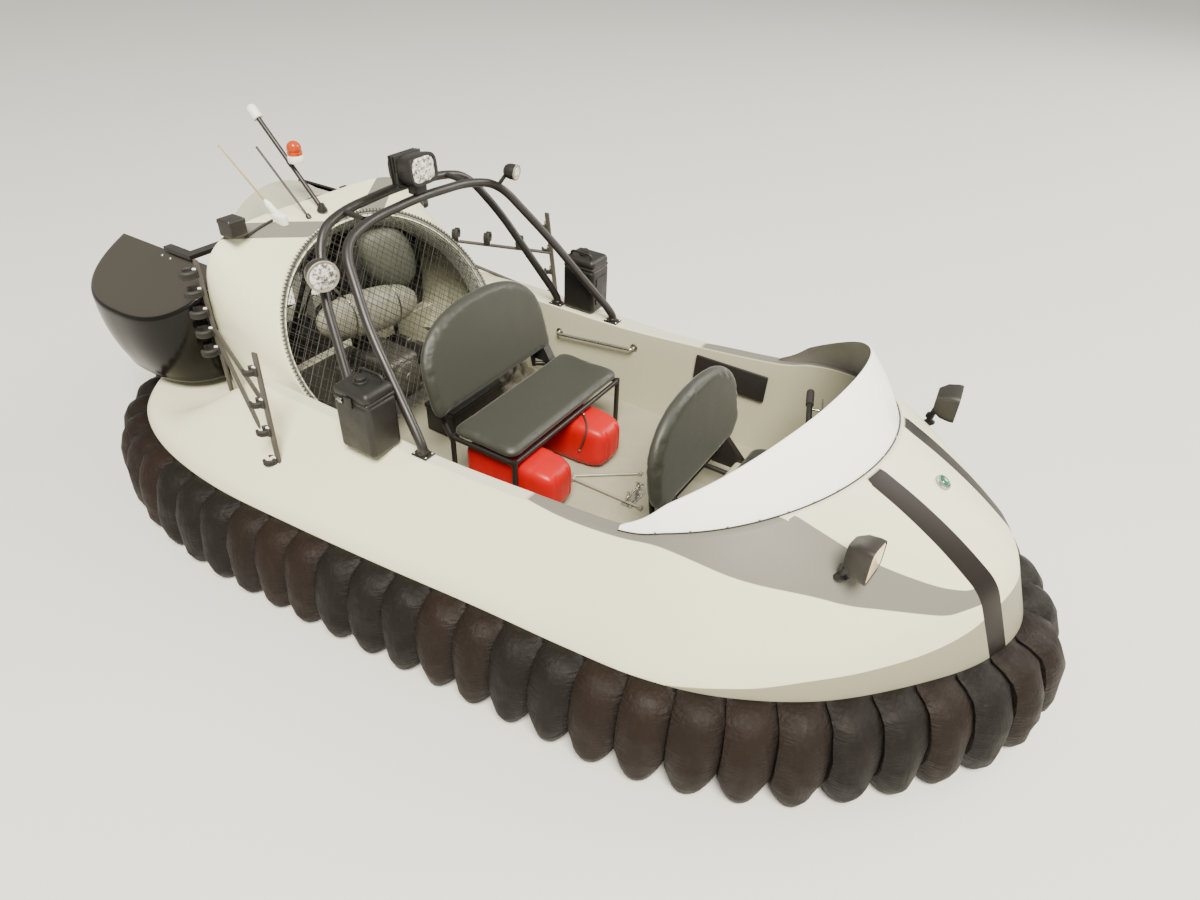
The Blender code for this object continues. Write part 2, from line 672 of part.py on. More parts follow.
def makeStern(deck, cowl):
    """Bucket pins and arms, racks on the cowl's sides, mast, aerials and the corner box."""
    for side, name in sides:
        foot = topOf(deck, bucketX, side * bucketY, 0.03) + touch
        post = addRod("bucket_foot_" + name, (bucketX, side * bucketY, foot),
                      (bucketX, side * bucketY, bucketLow - moving), 0.03, "black", 16)
        pin = addRod("foot pin", (bucketX, side * bucketY, foot + 0.01),
                     (bucketX, side * bucketY, bucketLow - touch), 0.012, "black", 16)
        boolean(post, cutterFrom(pin), "UNION")
        low = bucketHigh + moving
        reach = math.sqrt(ductOuter ** 2 - (low - ductZ) ** 2) + touch
        arm = addBox("bucket_arm_" + name, (0.05, bucketY + 0.02 - reach, 0.02),
                     (ductRear + 0.03, side * (bucketY + 0.02 + reach) / 2, low + 0.01), "black")
        tail = addBox("arm tail", (ductRear + 0.055 - bucketX + 0.02, 0.04, 0.02),
                      ((ductRear + 0.055 + bucketX - 0.02) / 2, side * bucketY, low + 0.01), "black")
        boolean(arm, cutterFrom(tail), "UNION")
        pin = addRod("arm pin", (bucketX, side * (bucketY + 0.004), bucketHigh + touch),
                     (bucketX, side * (bucketY + 0.004), low + 0.01), 0.009, "black", 12)
        boolean(arm, cutterFrom(pin), "UNION")
        addRack(side, name, deck)
    roof = topOf(cowl, mastX, mastY, 0.014) + touch
    foot = addRod("mast", (mastX, mastY, roof), (mastX, mastY, roof + 0.022), 0.014, "black")
    start = Vector((mastX, mastY, roof + 0.012))
    tip = start + Vector((-0.32, 0.0, 0.335))
    pole = addRod("pole", start, tip, 0.008, "black")
    boolean(foot, cutterFrom(pole), "UNION")
    along = (tip - start).normalized()
    addRod("mast_light", tip + along * touch, tip + along * 0.06, 0.020, "white", 16)
    clamp = start.lerp(tip, 0.505)
    foot = clamp + Vector((0.045, 0, 0.018))
    lamp = addRod("beacon", foot, foot + Vector((0, 0, 0.077)), 0.030, "orange", 20)
    off = Vector((along.z, 0, -along.x))
    stalk = addRod("stalk", clamp + off * (0.008 + 3 * touch), clamp + off * 0.050, 0.005, "white")
    boolean(lamp, cutterFrom(stalk), "UNION")
    roofTool = cutterFrom(loft("roof cutter", [cowlRing(k, -touch, 96) for k in (0, 1, 2)], "hull"))
    spot = Vector((-1.31, -0.26, topOf(cowl, -1.31, -0.26, 0.055) + 0.015))
    base = addBox("aerial_mount", (0.10, 0.05, 0.07), spot, "white", bevel=0.01)
    boolean(base, roofTool, "DIFFERENCE")
    for lean, out, length in aerials:
        along = Vector((-lean, -out, 1.0)).normalized()
        whip = addRod("whip", spot, spot + along * length, 0.004, "black", 8)
        boolean(base, cutterFrom(whip), "UNION")
    top = topOf(cowl, -1.325, -0.49, 0.07) + 0.015
    box = addBox("corner_box", (0.09, 0.10, 0.11), (-1.325, -0.49, top), "black", bevel=0.01)
    boolean(box, roofTool, "DIFFERENCE")


def addRack(side, name, deck):
    """Two uprights beside the cowl with two rods between them."""
    uprights = []
    for x, y, top, lean in rackUprights:
        low = topOf(deck, x, side * y, 0.013) + 2 * touch
        uprights.append(((x, side * y, low), (x - lean, side * (y - lean), top)))
    aft, fore = uprights
    first = addRod("rack_" + name, *aft, 0.012, "black")
    second = addRod("fore upright", *fore, 0.012, "black")
    boolean(first, cutterFrom(second), "UNION")
    for aftShare, foreShare in ((0.45, 0.10), (0.52, 0.60)):
        start = Vector(aft[0]).lerp(Vector(aft[1]), aftShare)
        end = Vector(fore[0]).lerp(Vector(fore[1]), foreShare)
        rod = addRod("rack rod", start, end, 0.006, "black")
        boolean(first, cutterFrom(rod), "UNION")


def makeCockpit(deck):
    """Seats, tanks, windscreen, steering and the things on the walls."""
    shieldRings()
    floor = panTop + touch
    addBox("rear_seat_pad", (0.36, 0.84, 0.045), (-0.096, 0.0, 0.5035), "vinyl", bevel=0.015)
    rearBack = addBoard("rear_seat_back", -0.325, 0.52, 0.955, 0.43, -0.12, 0.05)
    addBox("front_seat_pad", (0.36, 0.70, 0.05), (0.905, 0.0, 0.425), "vinyl", bevel=0.015)
    frontBack = addBoard("front_seat_back", 0.690, 0.45, 0.905, 0.37, -0.06, 0.05)
    frame, box = addSeatFrames(floor)
    settle(rearBack, frame, (-1, 0, 0))
    settle(frontBack, box, (-1, 0, 0))
    for name, y in tanks:
        addBox(name, (0.47, 0.20, 0.23), (-0.005, y, floor + 0.115), "red", bevel=0.035)
    for side, name in sides:
        low, high = (side * (wallY(z) - 0.0022) for z in (0.475, 0.520))
        rail = rounded([(-0.43, low, 0.475), (-0.43, low - side * 0.03, 0.475),
                        (0.01, high - side * 0.03, 0.520), (0.01, high, 0.520)], 0.01)
        addCurve("grab_rail_" + name, rail, 0.008, "steel")
        addHeadlight(side, name, deck)
    tilt = Matrix.Rotation(-math.atan(wallLean / (0.63 - panTop)), 4, "X")
    pocket = addBox("wall_pocket", (0.36, 0.02, 0.13), (0.53, 0.6215, 0.535), "black", tilt, 0.005)
    settle(pocket, deck, (0, 1, 0))
    spot = Vector((1.572, 0.0, topOf(deck, 1.572, 0.0) + 0.002))
    tilt = Vector((0.494, 0.0, 0.869)) * 0.03
    settle(addRod("nose_light", spot, spot + tilt, 0.028, "steel", 20), deck, -tilt)
    addRod("steering_post", (1.16, 0, floor + 0.0045), (1.08, 0, 0.66), 0.022, "black", 16)
    bar = addRod("handlebar", (1.0797, 0, 0.6613), (1.0755, 0, 0.68), 0.030, "black", 16)
    grip = asMesh(addCurve("bar", mirrored(rounded([(0.98, 0.36, 0.76), (1.02, 0.24, 0.76),
                  (1.08, 0.10, 0.685), (1.08, 0.0, 0.685)], 0.04)), 0.012, "black"))
    boolean(bar, cutterFrom(grip), "UNION")
    setOrigin(bar, (1.0797, 0, 0.6613))


def wallY(z):
    """How far outboard the cockpit wall is at a height, where the coaming is level."""
    return 0.71 - lipWidth - wallLean * (lipZ - z) / (lipZ - panTop)


def addSeatFrames(floor):
    """Tube frame under the rear bench, and the box and back brackets of the driver's seat."""
    under = 0.4807
    frame = addRod("rear_seat_frame", (0.065, -0.395, floor), (0.065, -0.395, under), 0.012, "black")
    runs = []
    for y in (-0.395, 0.395):
        runs.append(((-0.262, y, floor), (-0.262, y, under)))
        runs.append(((0.065, y, under - 0.012), (-0.262, y, under - 0.012)))
        runs.append(((-0.262, y, under - 0.03), (-0.372, y * 0.82, under - 0.03)))
        runs.append(((-0.3675, y * 0.82, under - 0.04), (-0.4195, y * 0.82, 0.70)))
    runs.append(((0.065, 0.395, floor), (0.065, 0.395, under)))
    for x in (0.065, -0.262):
        runs.append(((x, -0.395, under - 0.012), (x, 0.395, under - 0.012)))
    for start, end in runs:
        boolean(frame, cutterFrom(addRod("frame tube", start, end, 0.0115, "black")), "UNION")
    top = 0.3997
    box = addBox("front_seat_box", (0.30, 0.50, top - floor), (0.90, 0.0, (top + floor) / 2), "black")
    runs = [((0.640, -0.30, 0.360), (0.640, 0.30, 0.360))]
    for y in (-0.30, 0.30):
        runs.append(((0.640, y * 0.6, 0.360), (0.76, y * 0.6, 0.360)))
        runs.append(((0.663, y, 0.352), (0.6285, y, 0.62)))
    for start, end in runs:
        boolean(box, cutterFrom(addRod("seat bracket", start, end, 0.0115, "black")), "UNION")
    return frame, box


def addBoard(name, x, low, high, halfWidth, lean, thick):
    """A seat back with a rounded top: outline in the y-z plane, thick along x, leaning aft."""
    points = [(halfWidth * 0.86, 0.0), (halfWidth, (high - low) * 0.16)]
    for k in range(13):
        angle = math.pi * k / 12
        points.append((halfWidth * math.copysign(abs(math.cos(angle)) ** 0.85, math.cos(angle)),
                       (high - low) * (0.36 + 0.64 * math.sin(angle) ** 0.85)))
    points += [(-halfWidth, (high - low) * 0.16), (-halfWidth * 0.86, 0.0)]
    rings = []
    for shift in (-thick / 2, thick / 2):
        rings.append([(x + shift + lean * z / (high - low), y, low + z) for y, z in points])
    return loft(name, rings, "vinyl")


def shieldRings():
    """Curved windscreen on the front of the coaming, leaning aft, down to points at its ends."""
    first = int(np.argmax(loops[:, 4] < shieldEnd))
    index = [k % len(loops) for k in range(-first, first + 1)]
    lip = loops[index][:, 4:6]
    normal = lipNormals[index]
    base = lip - normal * 0.020
    height = loops[index][:, 6]
    share = (height - height.min()) / (height.max() - height.min())
    tall = 0.012 + 0.225 * share ** 0.75
    top = base - normal * (0.01 + 0.14 * share)[:, None]
    rings = []
    for k in range(len(index)):
        inner = normal[k] * 0.006
        rings.append([(*base[k], height[k] + 3 * touch), (*top[k], height[k] + tall[k]),
                      (*(top[k] - inner), height[k] + tall[k]),
                      (*(base[k] - inner), height[k] + 3 * touch)])
    return loft("windscreen", rings, "white")


def addHeadlight(side, name, deck):
    """Box headlight on a stalk on the bow deck."""
    spot = (1.455, side * 0.51, 0.812)
    turn = Matrix.Rotation(side * 0.05, 4, "Z")
    shell = addBox("headlight_" + name, (0.10, 0.13, 0.13), spot, "shell", turn, 0.015)
    foot = topOf(deck, 1.42, side * 0.51, 0.014) + 5 * touch
    stalk = addRod("stalk", (1.42, side * 0.51, foot), (1.43, side * 0.51, 0.78), 0.014, "black")
    boolean(shell, cutterFrom(stalk), "UNION")
    settle(shell, deck, (0, 0, -1))


hull = makeHull()
makeSkirt()
hood = makeCowl()
makeNet()
makeCage(hull)
makeDrive()
makeBuckets()
makeStern(hull, hood)
makeCockpit(hull)
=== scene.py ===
import json
import math
import bmesh
import bpy
import numpy as np
from mathutils import Matrix, Vector
from mathutils.bvhtree import BVHTree

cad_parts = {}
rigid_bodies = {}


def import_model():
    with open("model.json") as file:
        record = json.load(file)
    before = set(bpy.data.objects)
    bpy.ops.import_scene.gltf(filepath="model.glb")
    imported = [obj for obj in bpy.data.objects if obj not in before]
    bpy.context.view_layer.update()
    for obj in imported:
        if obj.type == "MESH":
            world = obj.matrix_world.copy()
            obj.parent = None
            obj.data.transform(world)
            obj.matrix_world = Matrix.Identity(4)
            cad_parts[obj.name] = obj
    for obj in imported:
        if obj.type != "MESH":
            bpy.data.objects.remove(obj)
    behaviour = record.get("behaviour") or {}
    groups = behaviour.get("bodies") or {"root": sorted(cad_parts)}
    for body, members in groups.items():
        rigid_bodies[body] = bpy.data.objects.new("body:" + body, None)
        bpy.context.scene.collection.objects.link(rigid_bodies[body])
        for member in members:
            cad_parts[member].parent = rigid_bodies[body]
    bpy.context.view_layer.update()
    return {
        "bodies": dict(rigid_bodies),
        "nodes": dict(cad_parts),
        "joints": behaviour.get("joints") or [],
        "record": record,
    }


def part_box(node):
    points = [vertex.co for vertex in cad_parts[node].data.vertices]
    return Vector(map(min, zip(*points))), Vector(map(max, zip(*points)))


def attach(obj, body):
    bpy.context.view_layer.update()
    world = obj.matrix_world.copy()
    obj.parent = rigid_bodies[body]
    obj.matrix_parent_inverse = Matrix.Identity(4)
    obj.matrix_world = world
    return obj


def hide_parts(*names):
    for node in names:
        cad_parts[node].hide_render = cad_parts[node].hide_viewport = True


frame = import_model()
nodes = frame["nodes"]
pi = math.pi
sideNames = ((1, "port"), (-1, "starboard"))
print("frame loaded:", len(nodes), "nodes")

# Camera: stands ahead of the starboard quarter at about head height, fitted to the photograph
cameraSet = {
    "rows": ((0.8412, -0.3399, 0.4206, 1.6975), (0.5399, 0.4832, -0.6893, -2.4130),
             (0.0311, 0.8068, 0.5900, 2.4401), (0, 0, 0, 1)),
    "focalPixels": 802.371,   # for an image 1200 pixels wide
    "sensor": 36.0,
    "shiftY": -1 / 1200,
}
cameraData = bpy.data.cameras.new("photoCamera")
cameraData.sensor_width = cameraSet["sensor"]
cameraData.lens = cameraSet["focalPixels"] / 1200 * cameraSet["sensor"]
cameraData.shift_y = cameraSet["shiftY"]
cameraData.clip_start = 0.05
cameraData.clip_end = 200
camera = bpy.data.objects.new("photoCamera", cameraData)
bpy.context.scene.collection.objects.link(camera)
camera.matrix_world = Matrix(cameraSet["rows"])
bpy.context.scene.camera = camera
print("camera placed")


# Shapes: each is a dictionary of vertices, four-sided faces and many-sided faces

def gridShape(grid, closeRows=False, closeColumns=False, capRows=False, capColumns=False):
    # P(i, j) on a grid; neighbours (i, j) (i+1, j) (i+1, j+1) (i, j+1) make one face
    grid = np.asarray(grid, float)
    rows, columns = grid.shape[:2]
    index = np.arange(rows * columns).reshape(rows, columns)
    if closeRows:
        index = np.vstack([index, index[:1]])
    if closeColumns:
        index = np.hstack([index, index[:, :1]])
    quads = np.stack([index[:-1, :-1], index[1:, :-1], index[1:, 1:], index[:-1, 1:]], -1)
    polys = []
    if capRows:
        polys += [index[0, :columns].tolist(), index[rows - 1, :columns][::-1].tolist()]
    if capColumns:
        polys += [index[:rows, 0][::-1].tolist(), index[:rows, columns - 1].tolist()]
    return {"verts": grid.reshape(-1, 3), "quads": quads.reshape(-1, 4), "polys": polys}


def moved(shape, matrix):
    # P' = M P for every vertex at once
    m = np.array(matrix, float)
    return {**shape, "verts": shape["verts"] @ m[:3, :3].T + m[:3, 3]}


def runAlong(points):
    # distance along a line of points from its first
    return np.concatenate([[0], np.cumsum(np.linalg.norm(np.diff(points, axis=0), axis=1))])


def evenPoints(points, count, by=None, closed=False):
    # the same line with its points evenly spaced, a closed one without its repeated end
    points = np.vstack([points, points[:1]]) if closed else points
    run = runAlong(points if by is None else by)
    even = np.linspace(0, run[-1], count, endpoint=not closed)
    return np.column_stack([np.interp(even, run, column) for column in points.T])


def circle(count):
    return np.linspace(0, 2 * pi, count, endpoint=False)


def bent(value, power):
    # sign(v) |v|^p turns a circle into a superellipse
    return np.sign(value) * np.abs(value) ** power


def solidShape(rings):
    # rings stacked into a body, capped at both ends
    return gridShape(rings, closeColumns=True, capRows=True)


def prismShape(points, depths):
    # a flat outline in x-z, given two thicknesses in y
    return solidShape([[(x, y + depth, z) for x, y, z in points] for depth in depths])


def ringsAlong(y, z, pairs):
    # P = (x, s y, s z) for each pair of x and s
    return [np.column_stack([np.full(len(y), x), y * s, z * s]) for x, s in pairs]


def boxOf(name):
    low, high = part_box(name)
    return low, high, (low + high) / 2, high - low


def roundedBox(centre, size, radius, steps=4, turn=None, taper=0.0):
    # P = sign(n) (h - r) + r n with n over eight octants of a unit sphere; taper narrows the top
    angle = np.linspace(0, pi / 2, steps + 1)
    lat = np.concatenate([angle[::-1], -angle])
    latSign = np.repeat([1.0, -1.0], steps + 1)
    lon = np.concatenate([angle + q * pi / 2 for q in range(4)])
    signX = np.repeat([1.0, -1.0, -1.0, 1.0], steps + 1)
    signY = np.repeat([1.0, 1.0, -1.0, -1.0], steps + 1)
    radius = min(radius, min(size) / 2 * 0.999)
    core = np.array(size) / 2 - radius
    x = signX[None] * core[0] + radius * np.cos(lat)[:, None] * np.cos(lon)[None]
    y = signY[None] * core[1] + radius * np.cos(lat)[:, None] * np.sin(lon)[None]
    z = latSign[:, None] * core[2] + radius * np.sin(lat)[:, None] + 0 * lon[None]
    shrink = 1 - taper * (z / size[2] + 0.5)
    shape = gridShape(np.stack([x * shrink, y * shrink, z], -1), closeColumns=True, capRows=True)
    place = Matrix.Translation(Vector(centre))
    return moved(shape, place @ turn if turn else place)


def framesAlong(path):
    # T = P'/|P'|, U = T x n, V = T x U, where n is the direction in which the path spreads least
    path = np.asarray(path, float)
    tangent = np.gradient(path, axis=0)
    tangent /= np.linalg.norm(tangent, axis=1)[:, None]
    least = np.linalg.svd(path - path.mean(0))[2][-1]
    across = np.cross(tangent, least)
    across /= np.linalg.norm(across, axis=1)[:, None]
    return path, across, np.cross(tangent, across)


def tubeShape(path, radius, sides=14, closed=False):
    # P(s, a) = C(s) + r(s) (cos a U + sin a V)
    if closed:
        path = np.vstack([path[-1:], path, path[:1]])
    path, across, up = framesAlong(path)
    if closed:
        path, across, up = path[1:-1], across[1:-1], up[1:-1]
    angle = np.linspace(0, 2 * pi, sides, endpoint=False)
    radius = np.broadcast_to(radius, len(path))[:, None, None]
    ring = np.cos(angle)[None, :, None] * across[:, None] + np.sin(angle)[None, :, None] * up[:, None]
    return gridShape(path[:, None] + radius * ring, closeColumns=True, closeRows=closed,
                     capRows=not closed)


def turnedShape(profile, base, axis, sides=32):
    # P(h, a) = B + h A + r(h) (cos a U + sin a V) for a profile of (r, h)
    profile = np.asarray(profile, float)
    axis = np.array(Vector(axis).normalized())
    other = np.array([1.0, 0, 0]) if abs(axis[0]) < 0.7 else np.array([0, 1.0, 0])
    u = np.cross(axis, other)
    u /= np.linalg.norm(u)
    v = np.cross(axis, u)
    angle = np.linspace(0, 2 * pi, sides, endpoint=False)
    ring = np.cos(angle)[:, None] * u + np.sin(angle)[:, None] * v
    grid = np.array(base) + profile[:, 1, None, None] * axis + profile[:, 0, None, None] * ring[None]
    return gridShape(grid, closeColumns=True, capRows=True)


def roundedPath(points, radius, steps=8):
    # each inner corner becomes Q(t) = (1-t)^2 A + 2t(1-t) C + t^2 B
    points = np.asarray(points, float)
    run = [points[:1]]
    t = np.linspace(0, 1, steps + 1)[:, None]
    for before, corner, after in zip(points, points[1:], points[2:]):
        a = corner + (before - corner) * min(0.48, radius / np.linalg.norm(before - corner))
        b = corner + (after - corner) * min(0.48, radius / np.linalg.norm(after - corner))
        run.append((1 - t) ** 2 * a + 2 * t * (1 - t) * corner + t ** 2 * b)
    run.append(points[-1:])
    return np.vstack(run)


def buildPiece(name, shapes, material, body="craft", replaces=(), fields=None,
               crease=38, inside=None, splitAt=None):
    # joins shapes into one mesh at the origin; fields are numbers per vertex for the material
    shapes = shapes if isinstance(shapes, list) else [shapes]
    verts, faces, start = [], [], 0
    for shape in shapes:
        verts.append(shape["verts"])
        faces += (shape["quads"] + start).tolist()
        faces += [[v + start for v in poly] for poly in shape["polys"]]
        start += len(shape["verts"])
    data = bpy.data.meshes.new(name)
    data.from_pydata(np.concatenate(verts).tolist(), [], faces)
    for key, values in (fields or {}).items():
        data.attributes.new(key, "FLOAT", "POINT").data.foreach_set(
            "value", np.asarray(values, np.float32).ravel())
    data.materials.append(material)
    if inside:
        data.materials.append(inside)
        data.polygons.foreach_set("material_index", splitAt(np.array(faces[:len(data.polygons)])))
    tidy = bmesh.new()
    tidy.from_mesh(data)
    bmesh.ops.remove_doubles(tidy, verts=tidy.verts, dist=0.00002)
    bmesh.ops.recalc_face_normals(tidy, faces=tidy.faces)
    tidy.to_mesh(data)
    tidy.free()
    data.shade_smooth()
    data.set_sharp_from_angle(angle=math.radians(crease))
    piece = bpy.data.objects.new(name, data)
    bpy.context.scene.collection.objects.link(piece)
    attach(piece, body)
    if replaces:
        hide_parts(*replaces)
    return piece


def dressNode(name, material, crease=38):
    # a CAD node keeps its mesh; welded and smoothed for the eye only
    node = nodes[name]
    node.data.materials.clear()
    node.data.materials.append(material)
    node.data.polygons.foreach_set("use_smooth", [True] * len(node.data.polygons))
    weld = node.modifiers.new("weld", "WELD")
    weld.merge_threshold = 0.00005
    split = node.modifiers.new("creases", "EDGE_SPLIT")
    split.split_angle = math.radians(crease)


# Materials

def linear(hexCode):
    # sRGB hex to linear: c <= 0.04045 ? c/12.92 : ((c+0.055)/1.055)^2.4
    parts = np.array([int(hexCode[i:i + 2], 16) for i in (1, 3, 5)]) / 255
    parts = np.where(parts <= 0.04045, parts / 12.92, ((parts + 0.055) / 1.055) ** 2.4)
    return (*[float(c) for c in parts], 1.0)


def addNode(tree, kind, inputs=None, **settings):
    node = tree.nodes.new(kind)
    for key, value in settings.items():
        setattr(node, key, value)
    for key, value in (inputs or {}).items():
        if isinstance(value, bpy.types.NodeSocket):
            tree.links.new(value, node.inputs[key])
        else:
            node.inputs[key].default_value = value
    return node


def weathered(name, pale, dark, patchMm, grainMm, grainDepth, roughness=(0.4, 0.5), spread=0.5, **sockets):
    # base colour drifts from pale to dark over patches, roughness with it, fine grain in the relief;
    # a small spread gives the patches hard edges
    made = bpy.data.materials.new(name)
    made.use_nodes = True
    tree = made.node_tree
    shader = tree.nodes["Principled BSDF"]
    for key, value in sockets.items():
        shader.inputs[key.replace("_", " ")].default_value = value
    place = addNode(tree, "ShaderNodeTexCoord").outputs["Object"]
    patches = addNode(tree, "ShaderNodeTexNoise",
                      {"Vector": place, "Scale": 1000 / patchMm, "Detail": 5.0, "Roughness": 0.6})
    share = addNode(tree, "ShaderNodeMapRange", {"Value": patches.outputs["Fac"], "From Min": 0.5 - spread,
                                                 "From Max": 0.5 + spread})
    mix = addNode(tree, "ShaderNodeMix", {0: share.outputs["Result"], 6: linear(pale), 7: linear(dark)},
                  data_type="RGBA")
    span = addNode(tree, "ShaderNodeMapRange", {"Value": patches.outputs["Fac"], "From Min": 0.35,
                                                "From Max": 0.65, "To Min": roughness[0],
                                                "To Max": roughness[1]})
    grain = addNode(tree, "ShaderNodeTexNoise",
                    {"Vector": place, "Scale": 1000 / grainMm, "Detail": 3.0})
    bump = addNode(tree, "ShaderNodeBump", {"Height": grain.outputs["Fac"], "Distance": grainDepth,
                                            "Strength": 1.0})
    tree.links.new(mix.outputs[2], shader.inputs["Base Color"])
    tree.links.new(span.outputs["Result"], shader.inputs["Roughness"])
    tree.links.new(bump.outputs["Normal"], shader.inputs["Normal"])
    return made


def paintOver(made, fields):
    # lays flat colours over the base where a vertex field is above zero, with an edge 2 mm soft
    tree = made.node_tree
    shader = tree.nodes["Principled BSDF"]
    under = shader.inputs["Base Color"].links[0].from_socket
    for key, code in fields:
        mark = addNode(tree, "ShaderNodeAttribute", attribute_name=key)
        edge = addNode(tree, "ShaderNodeMath", {0: mark.outputs["Fac"], 1: 500.0},
                       operation="MULTIPLY", use_clamp=True)
        over = addNode(tree, "ShaderNodeMix", {0: edge.outputs[0], 6: under, 7: linear(code)},
                       data_type="RGBA")
        under = over.outputs[2]
    tree.links.new(under, shader.inputs["Base Color"])
    return made


# gelcoat over glass fibre: sprayed in the mould, glossy, chalked a little, dust in patches; the last colour
# laid over it is painted shade on the starboard wall of the engine bay
gelcoat = paintOver(
    weathered("gelcoatCream", "#DDDBBE", "#CDCBB0", 700, 3.0, 0.00012, (0.36, 0.50), IOR=1.45,
              Specular_IOR_Level=0.22),
    (("inside", "#A5A48D"), ("coaming", "#C6C5B0"), ("swoosh", "#6F6D66"), ("band", "#85836F"),
     ("stripe", "#1B1715"), ("bayShade", "#4A4843")))
gelcoatInside = weathered("gelcoatInside", "#B0AF9F", "#929183", 240, 2.5, 0.0002, (0.45, 0.62), IOR=1.5)
# cockpit sole: rolled grit paint, walked on, with mud dried into it, and darkened aft round the engine as
# painted shade of the engine bay
gritPaint = weathered("gritPaint", "#9F9D89", "#83816F", 180, 2.2, 0.0006, (0.6, 0.8))
shadedSole = gritPaint.node_tree
paint = shadedSole.nodes["Principled BSDF"].inputs["Base Color"]
split = addNode(shadedSole, "ShaderNodeSeparateXYZ",
                {0: addNode(shadedSole, "ShaderNodeTexCoord").outputs["Object"]})
# painted shade: the sole darkens aft of x -0.70, under the cowl
aft = addNode(shadedSole, "ShaderNodeMapRange", {"Value": split.outputs["X"], "From Min": -0.70, "From Max": -0.86})
bayShaded = addNode(shadedSole, "ShaderNodeMix", {0: aft.outputs["Result"], 6: paint.links[0].from_socket,
                                          7: linear("#35332E")}, data_type="RGBA")
shadedSole.links.new(bayShaded.outputs[2], paint)
# satin powder coat on welded tube: fine orange peel, dull dark grey-black
powderCoat = weathered("powderCoatBlack", "#1F1C1A", "#141211", 90, 1.2, 0.00006, (0.34, 0.48), IOR=1.5)
# gloss black gelcoat of the buckets: deep and wet, light dust on the lid
blackGelcoat = paintOver(
    weathered("blackGelcoat", "#0B0A09", "#12100E", 260, 3.0, 0.00005, (0.14, 0.26), IOR=1.45,
              Specular_IOR_Level=0.22), (("dust", "#33312D"),))
# moulded black plastic with spark-eroded grain
mouldedPlastic = weathered("mouldedPlastic", "#1C1A19", "#131211", 60, 0.9, 0.0002, (0.42, 0.56), IOR=1.46)
lampPlastic = weathered("lampPlastic", "#282522", "#1D1B19", 70, 0.9, 0.0002, (0.40, 0.55), IOR=1.46)
# expanded vinyl on foam: soft leather-like grain 1 mm across, sheen where the sky hits it
vinyl = weathered("vinylOlive", "#2E3029", "#252720", 130, 1.3, 0.00035, (0.42, 0.55), IOR=1.5,
                  Sheen_Weight=0.15, Sheen_Roughness=0.4)
# blow-moulded polyethylene of the fuel tanks: waxy red, soft highlights
polyRed = weathered("polyethyleneRed", "#B8070C", "#9C0509", 90, 1.6, 0.00025, (0.30, 0.42), IOR=1.5,
                    Specular_IOR_Level=0.3)
# acrylic screen with white film outside, given a faint painted glow by emission, bare grey inside
filmWhitePaintedGlow = weathered("screenFilmWhitePaintedGlow", "#FEFEFB", "#F9F9F4", 400, 4.0, 0.00005, (0.22, 0.32), IOR=1.49,
                      Emission_Color=(1, 1, 1, 1), Emission_Strength=0.14)
screenGrey = weathered("screenInside", "#A5A39C", "#8F8D86", 300, 4.0, 0.00005, (0.25, 0.4), IOR=1.49)
zincGrey = weathered("zincGrey", "#A39E92", "#837E72", 35, 1.0, 0.0001, (0.4, 0.55), Metallic=0.3)
stainless = weathered("brushedStainless", "#C9C8C2", "#A9A7A0", 40, 0.7, 0.00008, (0.18, 0.34), Metallic=1.0)
castAlloy = weathered("castAlloy", "#8D8A82", "#625E57", 45, 1.4, 0.0004, (0.42, 0.6), Metallic=0.85)
rustyIron = weathered("rustyPulley", "#8A6A48", "#5B4432", 30, 1.5, 0.0003, (0.5, 0.75), Metallic=0.4)
# dark sooty iron of the engine fins, also laid on the bulkhead and inside the fan duct as painted shade of the
# engine bay
sootIronAndShade = weathered("sootyIronAndPaintedShade", "#3B3835", "#1F1D1B", 50, 1.8, 0.0005, (0.5, 0.75), Metallic=0.5)
beltRubber = weathered("beltRubber", "#1B1A19", "#2A2826", 30, 1.0, 0.0002, (0.6, 0.75))
whiteAbs = weathered("whiteAbs", "#F1F0EA", "#E1DFD6", 60, 1.2, 0.00008, (0.3, 0.42), IOR=1.5)
webbing = weathered("blackWebbing", "#1D1C1B", "#2A2826", 12, 1.6, 0.0005, (0.7, 0.85))
netCord = weathered("netCord", "#47443C", "#35332D", 25, 1.5, 0.0002, (0.6, 0.75))
netFine = weathered("netFine", "#2A2B26", "#1F201C", 25, 1.5, 0.0002, (0.6, 0.75))
beaconAmber = weathered("beaconAmber", "#B43E00", "#A23600", 40, 2.0, 0.0001, (0.16, 0.26), IOR=1.49,
                        Specular_IOR_Level=0.4)
creamLens = weathered("creamLens", "#E2C9A0", "#CDB084", 25, 5.0, 0.0006, (0.10, 0.2), IOR=1.5,
                      Coat_Weight=0.8, Coat_Roughness=0.03)
greenGlass = weathered("greenGlass", "#1F6B52", "#134B3A", 12, 3.0, 0.0003, (0.06, 0.12), IOR=1.5,
                       Coat_Weight=1.0, Coat_Roughness=0.03)
# lamp reflector: hard-edged pale and dark patches in the base colour, painted reflections of the room in its
# facets
reflectorPaintedReflections = weathered("lampReflectorPaintedReflections", "#FFFEFA", "#5E5347", 14, 5.0, 0.0030, (0.08, 0.2), spread=0.09,
                      Metallic=0.3, Coat_Weight=1.0, Coat_Roughness=0.04)
print("materials made")

